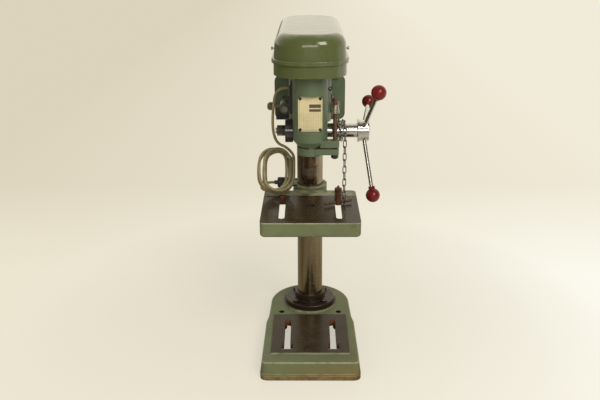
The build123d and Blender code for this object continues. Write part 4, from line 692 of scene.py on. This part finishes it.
class PRESS_OT_nameplate(bpy.types.Operator):
    """Cream plate with a ruled border, two plain dark blocks and a ruled grid, without any lettering"""

    bl_idname = "press.nameplate"
    bl_label = "Nameplate"

    def execute(self, context):
        paint = context.scene.press_paint
        low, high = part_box("nameplate")
        middle_z = (low[2] + high[2]) / 2
        f = Finish("plate_lacquer")
        half_w = high[0]
        half_h = (high[2] - low[2]) / 2
        across = f.axis("X").size()
        rise = f.axis("Z") - middle_z
        along = rise.size()
        side_line = (across - (half_w - 0.0030)).size()
        end_line = (along - (half_h - 0.0030)).size()
        frame_line = side_line.smaller(end_line).below(0.0004, 0.0003)
        inside = across.below(half_w - 0.0026, 0.0002) * along.below(half_h - 0.0026, 0.0002)
        upper = rise.above(0.0151, 0.0003) * rise.below(0.0235, 0.0003)
        lower = rise.above(0.0060, 0.0003) * rise.below(0.0122, 0.0003)
        blocks = upper.larger(lower) * (f.axis("X") - 0.0112).size().below(0.0136, 0.0003)
        row = (rise * (2 * math.pi / 0.0040)).wave().above(0.93, 0.06)
        column = (f.axis("X") * (2 * math.pi / 0.0058)).wave().above(0.95, 0.05)
        rows = row.larger(column) * across.below(half_w - 0.0055, 0.0003)
        rows = rows * rise.below(0.0032, 0.0003) * rise.above(0.0085 - half_h, 0.0003)
        age = f.noise(38.0, 5.0, 0.65)
        specks = f.noise(420.0, 3.0, 0.7).clamp(0.66, 0.72)
        base = tuple(paint.plate)
        colour = f.mix(age.clamp(0.42, 0.75) * 0.5, base, tuple(c * 0.66 for c in base))
        ink = (frame_line * inside * 0.5).larger(rows * 0.35).larger(blocks)
        colour = f.mix(ink * 0.9, colour, (0.035, 0.026, 0.016))
        colour = f.mix(specks * 0.5, colour, (0.16, 0.11, 0.06))
        f.set(base_color=colour, roughness=0.30 + age * 0.18, metallic=0.15)
        f.bump(ink * 0.6 + age * 0.2, 0.0001, 0.4)
        dress(f, "nameplate")
        return {"FINISHED"}


def metres(*points):
    """Points of the drawing, in millimetres, as metres."""
    return [Vector(p) / 1000 for p in points]


class Hank:
    """Route of the hank: loops that differ in width and height, each behind the one before."""

    def __init__(self, lead):
        self.lead = lead
        reach = (lead.height + lead.height_fan) * math.cos(lead.lean)
        depth = lead.loops * lead.step / 2 * math.sin(lead.lean)
        middle = (*lead.place, TABLE_TOP_Z + lead.clear + reach + depth + lead.diameter / 2)
        self.frame = Matrix.Translation(middle) @ Matrix.Rotation(-lead.lean, 4, "X")

    def loosen(self, index):
        """A share between -1 and 1 that sets each run and bend apart from the others."""
        return math.cos(self.lead.fan_angle * index)

    def run(self, index):
        """Across and depth of a run: even runs lie right, odd runs left."""
        lead = self.lead
        side = 1 if index % 2 == 0 else -1
        depth = (index / 2 - lead.loops / 2) * lead.step
        if index == 2 * lead.loops:
            depth += lead.diameter
        return Vector((side * (lead.mean + lead.fan * self.loosen(index)), depth, 0.0))

    def half_turn(self, index):
        """Points over the half turn between a run and the next, below or above."""
        here = self.run(index)
        there = self.run(index + 1)
        middle = (here + there) / 2
        radius = (here - there).length / 2
        way = -1 if index % 2 == 0 else 1
        reach = self.lead.height + self.lead.height_fan * self.loosen(index + 2)
        middle.z = way * (reach - radius)
        arm = here - there
        steps = 8
        spots = []
        for k in range(steps + 1):
            t = math.pi * k / steps
            spots.append(middle + arm / 2 * math.cos(t) + Vector((0.0, 0.0, way * radius * math.sin(t))))
        return spots

    def points(self):
        """Control points from the first run to the last quarter turn."""
        lead = self.lead
        first = self.run(0)
        spots = [first + Vector((0.0, 0.0, lead.start))]
        for index in range(2 * lead.loops):
            spots.extend(self.half_turn(index))
        last = self.run(2 * lead.loops)
        low = lead.diameter / 2 - lead.height
        for k in range(5):
            t = math.pi / 2 * k / 4
            spots.append(Vector((last.x * math.cos(t), last.y, low + last.x * (1 - math.sin(t)))))
        spots.append(Vector((-lead.diameter, last.y, low)))
        return [self.frame @ spot for spot in spots]


class PRESS_OT_lead(bpy.types.Operator):
    """Mains lead from its gland through the hank to the plug"""

    bl_idname = "press.lead"
    bl_label = "Mains lead"

    def execute(self, context):
        paint = context.scene.press_paint
        lead = context.scene.press_lead
        drop = metres((-57.0, -112.0, 696.0), (-65.6, -112.0, 696.0), (-74.4, -112.0, 692.8),
                      (-81.5, -111.7, 686.8), (-86.2, -111.0, 678.7), (-89.4, -109.8, 664.0),
                      (-91.8, -107.4, 646.0), (-93.6, -103.6, 625.0), (-94.6, -99.8, 603.0),
                      (-93.4, -97.0, 581.0), (-88.6, -96.0, 561.5), (-79.5, -96.3, 548.5),
                      (-62.0, -97.2, 541.5), (-46.8, -99.1, 527.3))
        hank = Hank(lead).points()
        rise = (hank[0] - hank[1]).normalized()
        above = hank[0] + rise * 3 * lead.diameter
        end = hank[-1]
        low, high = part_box("mains_plug")
        plug = Vector((low[0], (low[1] + high[1]) / 2, (low[2] + high[2]) / 2))
        climb = plug.z - end.z
        tail = [Vector((end.x - 0.0163, end.y, end.z)),
                Vector((end.x - 0.0295, end.y + 0.0096, end.z + 0.15 * climb)),
                Vector((end.x - 0.0346, end.y + 0.0251, end.z + 0.45 * climb)),
                Vector((end.x - 0.0295, end.y + 0.0407, end.z + 0.80 * climb)),
                Vector((end.x - 0.0163, plug.y, plug.z)), plug]
        points = drop + [above] + hank + tail
        curve = bpy.data.curves.new("mains_lead", "CURVE")
        curve.dimensions = "3D"
        curve.bevel_depth = lead.diameter / 2
        curve.bevel_resolution = 5
        curve.use_fill_caps = True
        spline = curve.splines.new("NURBS")
        spline.points.add(len(points) - 1)
        for spot, point in zip(spline.points, points):
            spot.co = (*point, 1.0)
        spline.order_u = 3
        spline.use_endpoint_u = True
        spline.resolution_u = 6
        piece = bpy.data.objects.new("mains_lead", curve)
        context.scene.collection.objects.link(piece)
        curve.materials.append(lead_finish(paint).material)
        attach(piece, "stand")
        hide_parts("cord_lead", "cord_hank", "cord_tail")
        tuple(points[0])
        return {"FINISHED"}


def lead_finish(paint):
    """Soft grey-beige jacket, darker where it is handled."""
    f = Finish("lead_jacket")
    dirt = f.noise(45.0, 5.0, 0.65)
    fine = f.noise(700.0, 2.0)
    base = tuple(paint.flex)
    colour = f.mix(dirt.clamp(0.4, 0.72), base, tuple(c * 0.55 for c in base))
    f.set(base_color=colour, roughness=0.34 + dirt * 0.2 + fine * 0.06)
    f.bump(fine, 0.0001, 0.4)
    return f


class PRESS_OT_stage(bpy.types.Operator):
    """Pale floor, soft studio light and the camera"""

    bl_idname = "press.stage"
    bl_label = "Studio"

    def execute(self, context):
        scene = context.scene
        stage = scene.press_stage
        scene.view_settings.view_transform = "Standard"
        view = bpy.data.cameras.new("studio_camera")
        view.lens = stage.lens
        view.sensor_width = 36.0
        camera = bpy.data.objects.new("studio_camera", view)
        camera.location = stage.camera
        turn = Matrix.Rotation(stage.yaw, 3, "Z") @ Matrix.Rotation(math.pi / 2 - stage.pitch, 3, "X")
        camera.rotation_euler = (turn @ Matrix.Rotation(stage.roll, 3, "Z")).to_euler()
        scene.collection.objects.link(camera)
        scene.camera = camera

        floor_mesh = bpy.data.meshes.new("studio_floor")
        reach = 40.0
        corners = [(-reach, -reach, 0), (reach, -reach, 0), (reach, reach, 0), (-reach, reach, 0)]
        floor_mesh.from_pydata(corners, [], [(0, 1, 2, 3)])
        floor = bpy.data.objects.new("studio_floor", floor_mesh)
        scene.collection.objects.link(floor)
        f = Finish("floor_pale")
        pale = tuple(stage.floor)
        colour = f.mix(f.noise(3.0, 3.0), pale, tuple(c * 0.97 for c in pale))
        # In reflections the floor shows dim on the left and in front: a painted darkening of what the metal
        # parts reflect.
        share = f.axis("X").clamp(-1.2, 0.5) * f.axis("Y").clamp(-1.0, 0.0, 0.3, 1.0)
        colour = f.mix(f.ray("Glossy") * (1 - share), colour, tuple(stage.dim))
        f.set(base_color=colour, roughness=0.55)
        # The floor's glow is painted light: paler on the right and close by, darker on the left and far away.
        tone = f.mix(f.axis("X").clamp(-1.6, 1.6), tuple(stage.backdrop_left), tuple(stage.backdrop_right))
        near = f.mix(f.axis("X").clamp(-0.9, 0.9), tuple(stage.near_left), tuple(stage.near_right))
        tone = f.mix(f.axis("Y").below(0.75, 0.9), tone, near)
        glow = f.node("ShaderNodeEmission", {}, {"Color": tone, "Strength": 1.0})
        far = (f.axis("X") * f.axis("X") + f.axis("Y") * f.axis("Y")).clamp(0.05, 0.75)
        shown_to_camera = f.ray("Camera") * (0.60 + far * 0.40)
        shown_to_gloss = f.ray("Glossy") * far * share
        glowing = shown_to_camera.larger(shown_to_gloss)
        shown = f.node("ShaderNodeMixShader", {}, {0: glowing, 1: Val(f, f.shader.outputs[0]), 2: glow})
        f.feed(f.output.inputs["Surface"], shown)
        floor_mesh.materials.append(f.material)

        self.lamp(scene, "key_light", (1.1, -2.3, 2.4), (0.0, 0.0, 0.45), 1.4, stage.key)
        fill = self.lamp(scene, "fill_light", (-1.9, -1.5, 1.9), (0.0, 0.0, 0.5), 1.8, stage.fill)
        fill.visible_glossy = False
        self.lamp(scene, "front_light", (0.0, -2.9, 1.35), (0.0, 0.0, 0.5), 0.8, stage.front)
        back = self.lamp(scene, "back_light", (0.0, 3.2, 2.0), (0.0, 0.0, 0.8), 2.4, stage.back)
        back.visible_glossy = False
        f = Finish("studio_world", world=True)
        way = f.node("ShaderNodeTexCoord", {}, {}, "Generated")
        rear = f.node("ShaderNodeSeparateXYZ", {}, {0: way}, 1).clamp(-0.2, 0.6)
        strength = 0.34 + f.ray("Camera") * 0.52 + f.ray("Glossy") * (rear * 0.92 - 0.20)
        f.set(color=(0.93, 0.87, 0.725), strength=strength)
        scene.world = f.material
        return {"FINISHED"}

    @staticmethod
    def lamp(scene, name, place, target, size, power):
        light = bpy.data.lights.new(name, "AREA")
        light.shape = "SQUARE"
        light.size = size
        light.energy = power
        light.color = (1.0, 0.955, 0.86)
        lamp = bpy.data.objects.new(name, light)
        lamp.location = place
        lamp.visible_camera = False
        way = Vector(target) - Vector(place)
        lamp.rotation_euler = way.to_track_quat("-Z", "Y").to_euler()
        scene.collection.objects.link(lamp)
        return lamp


class PRESS_PT_panel(bpy.types.Panel):
    """Values of the drill press and the steps that dress it"""

    bl_idname = "PRESS_PT_panel"
    bl_label = "Drill Press"
    bl_space_type = "VIEW_3D"
    bl_region_type = "UI"
    bl_category = "Drill Press"

    def draw(self, context):
        layout = self.layout
        for group in (context.scene.press_paint, context.scene.press_lead, context.scene.press_stage):
            box = layout.box()
            for key in group.__annotations__:
                box.prop(group, key)
        for operator in OPERATORS:
            layout.operator(operator.bl_idname)


OPERATORS = (
    PRESS_OT_stage,
    PRESS_OT_lead,
    PRESS_OT_castings,
    PRESS_OT_cover,
    PRESS_OT_table,
    PRESS_OT_base,
    PRESS_OT_column,
    PRESS_OT_ironwork,
    PRESS_OT_chuck,
    PRESS_OT_bright,
    PRESS_OT_mouldings,
    PRESS_OT_nameplate,
)
CLASSES = (PressPaint, PressLead, PressStage, *OPERATORS, PRESS_PT_panel)


def register():
    for cls in CLASSES:
        bpy.utils.register_class(cls)
    bpy.types.Scene.press_paint = PointerProperty(type=PressPaint)
    bpy.types.Scene.press_lead = PointerProperty(type=PressLead)
    bpy.types.Scene.press_stage = PointerProperty(type=PressStage)


def unregister():
    del bpy.types.Scene.press_stage
    del bpy.types.Scene.press_lead
    del bpy.types.Scene.press_paint
    for cls in reversed(CLASSES):
        bpy.utils.unregister_class(cls)


def main():
    register()
    bpy.ops.press.stage()
    bpy.ops.press.lead()
    bpy.ops.press.castings()
    bpy.ops.press.cover()
    bpy.ops.press.table()
    bpy.ops.press.base()
    bpy.ops.press.column()
    bpy.ops.press.ironwork()
    bpy.ops.press.chuck()
    bpy.ops.press.bright()
    bpy.ops.press.mouldings()
    bpy.ops.press.nameplate()


if __name__ == "__main__":
    main()
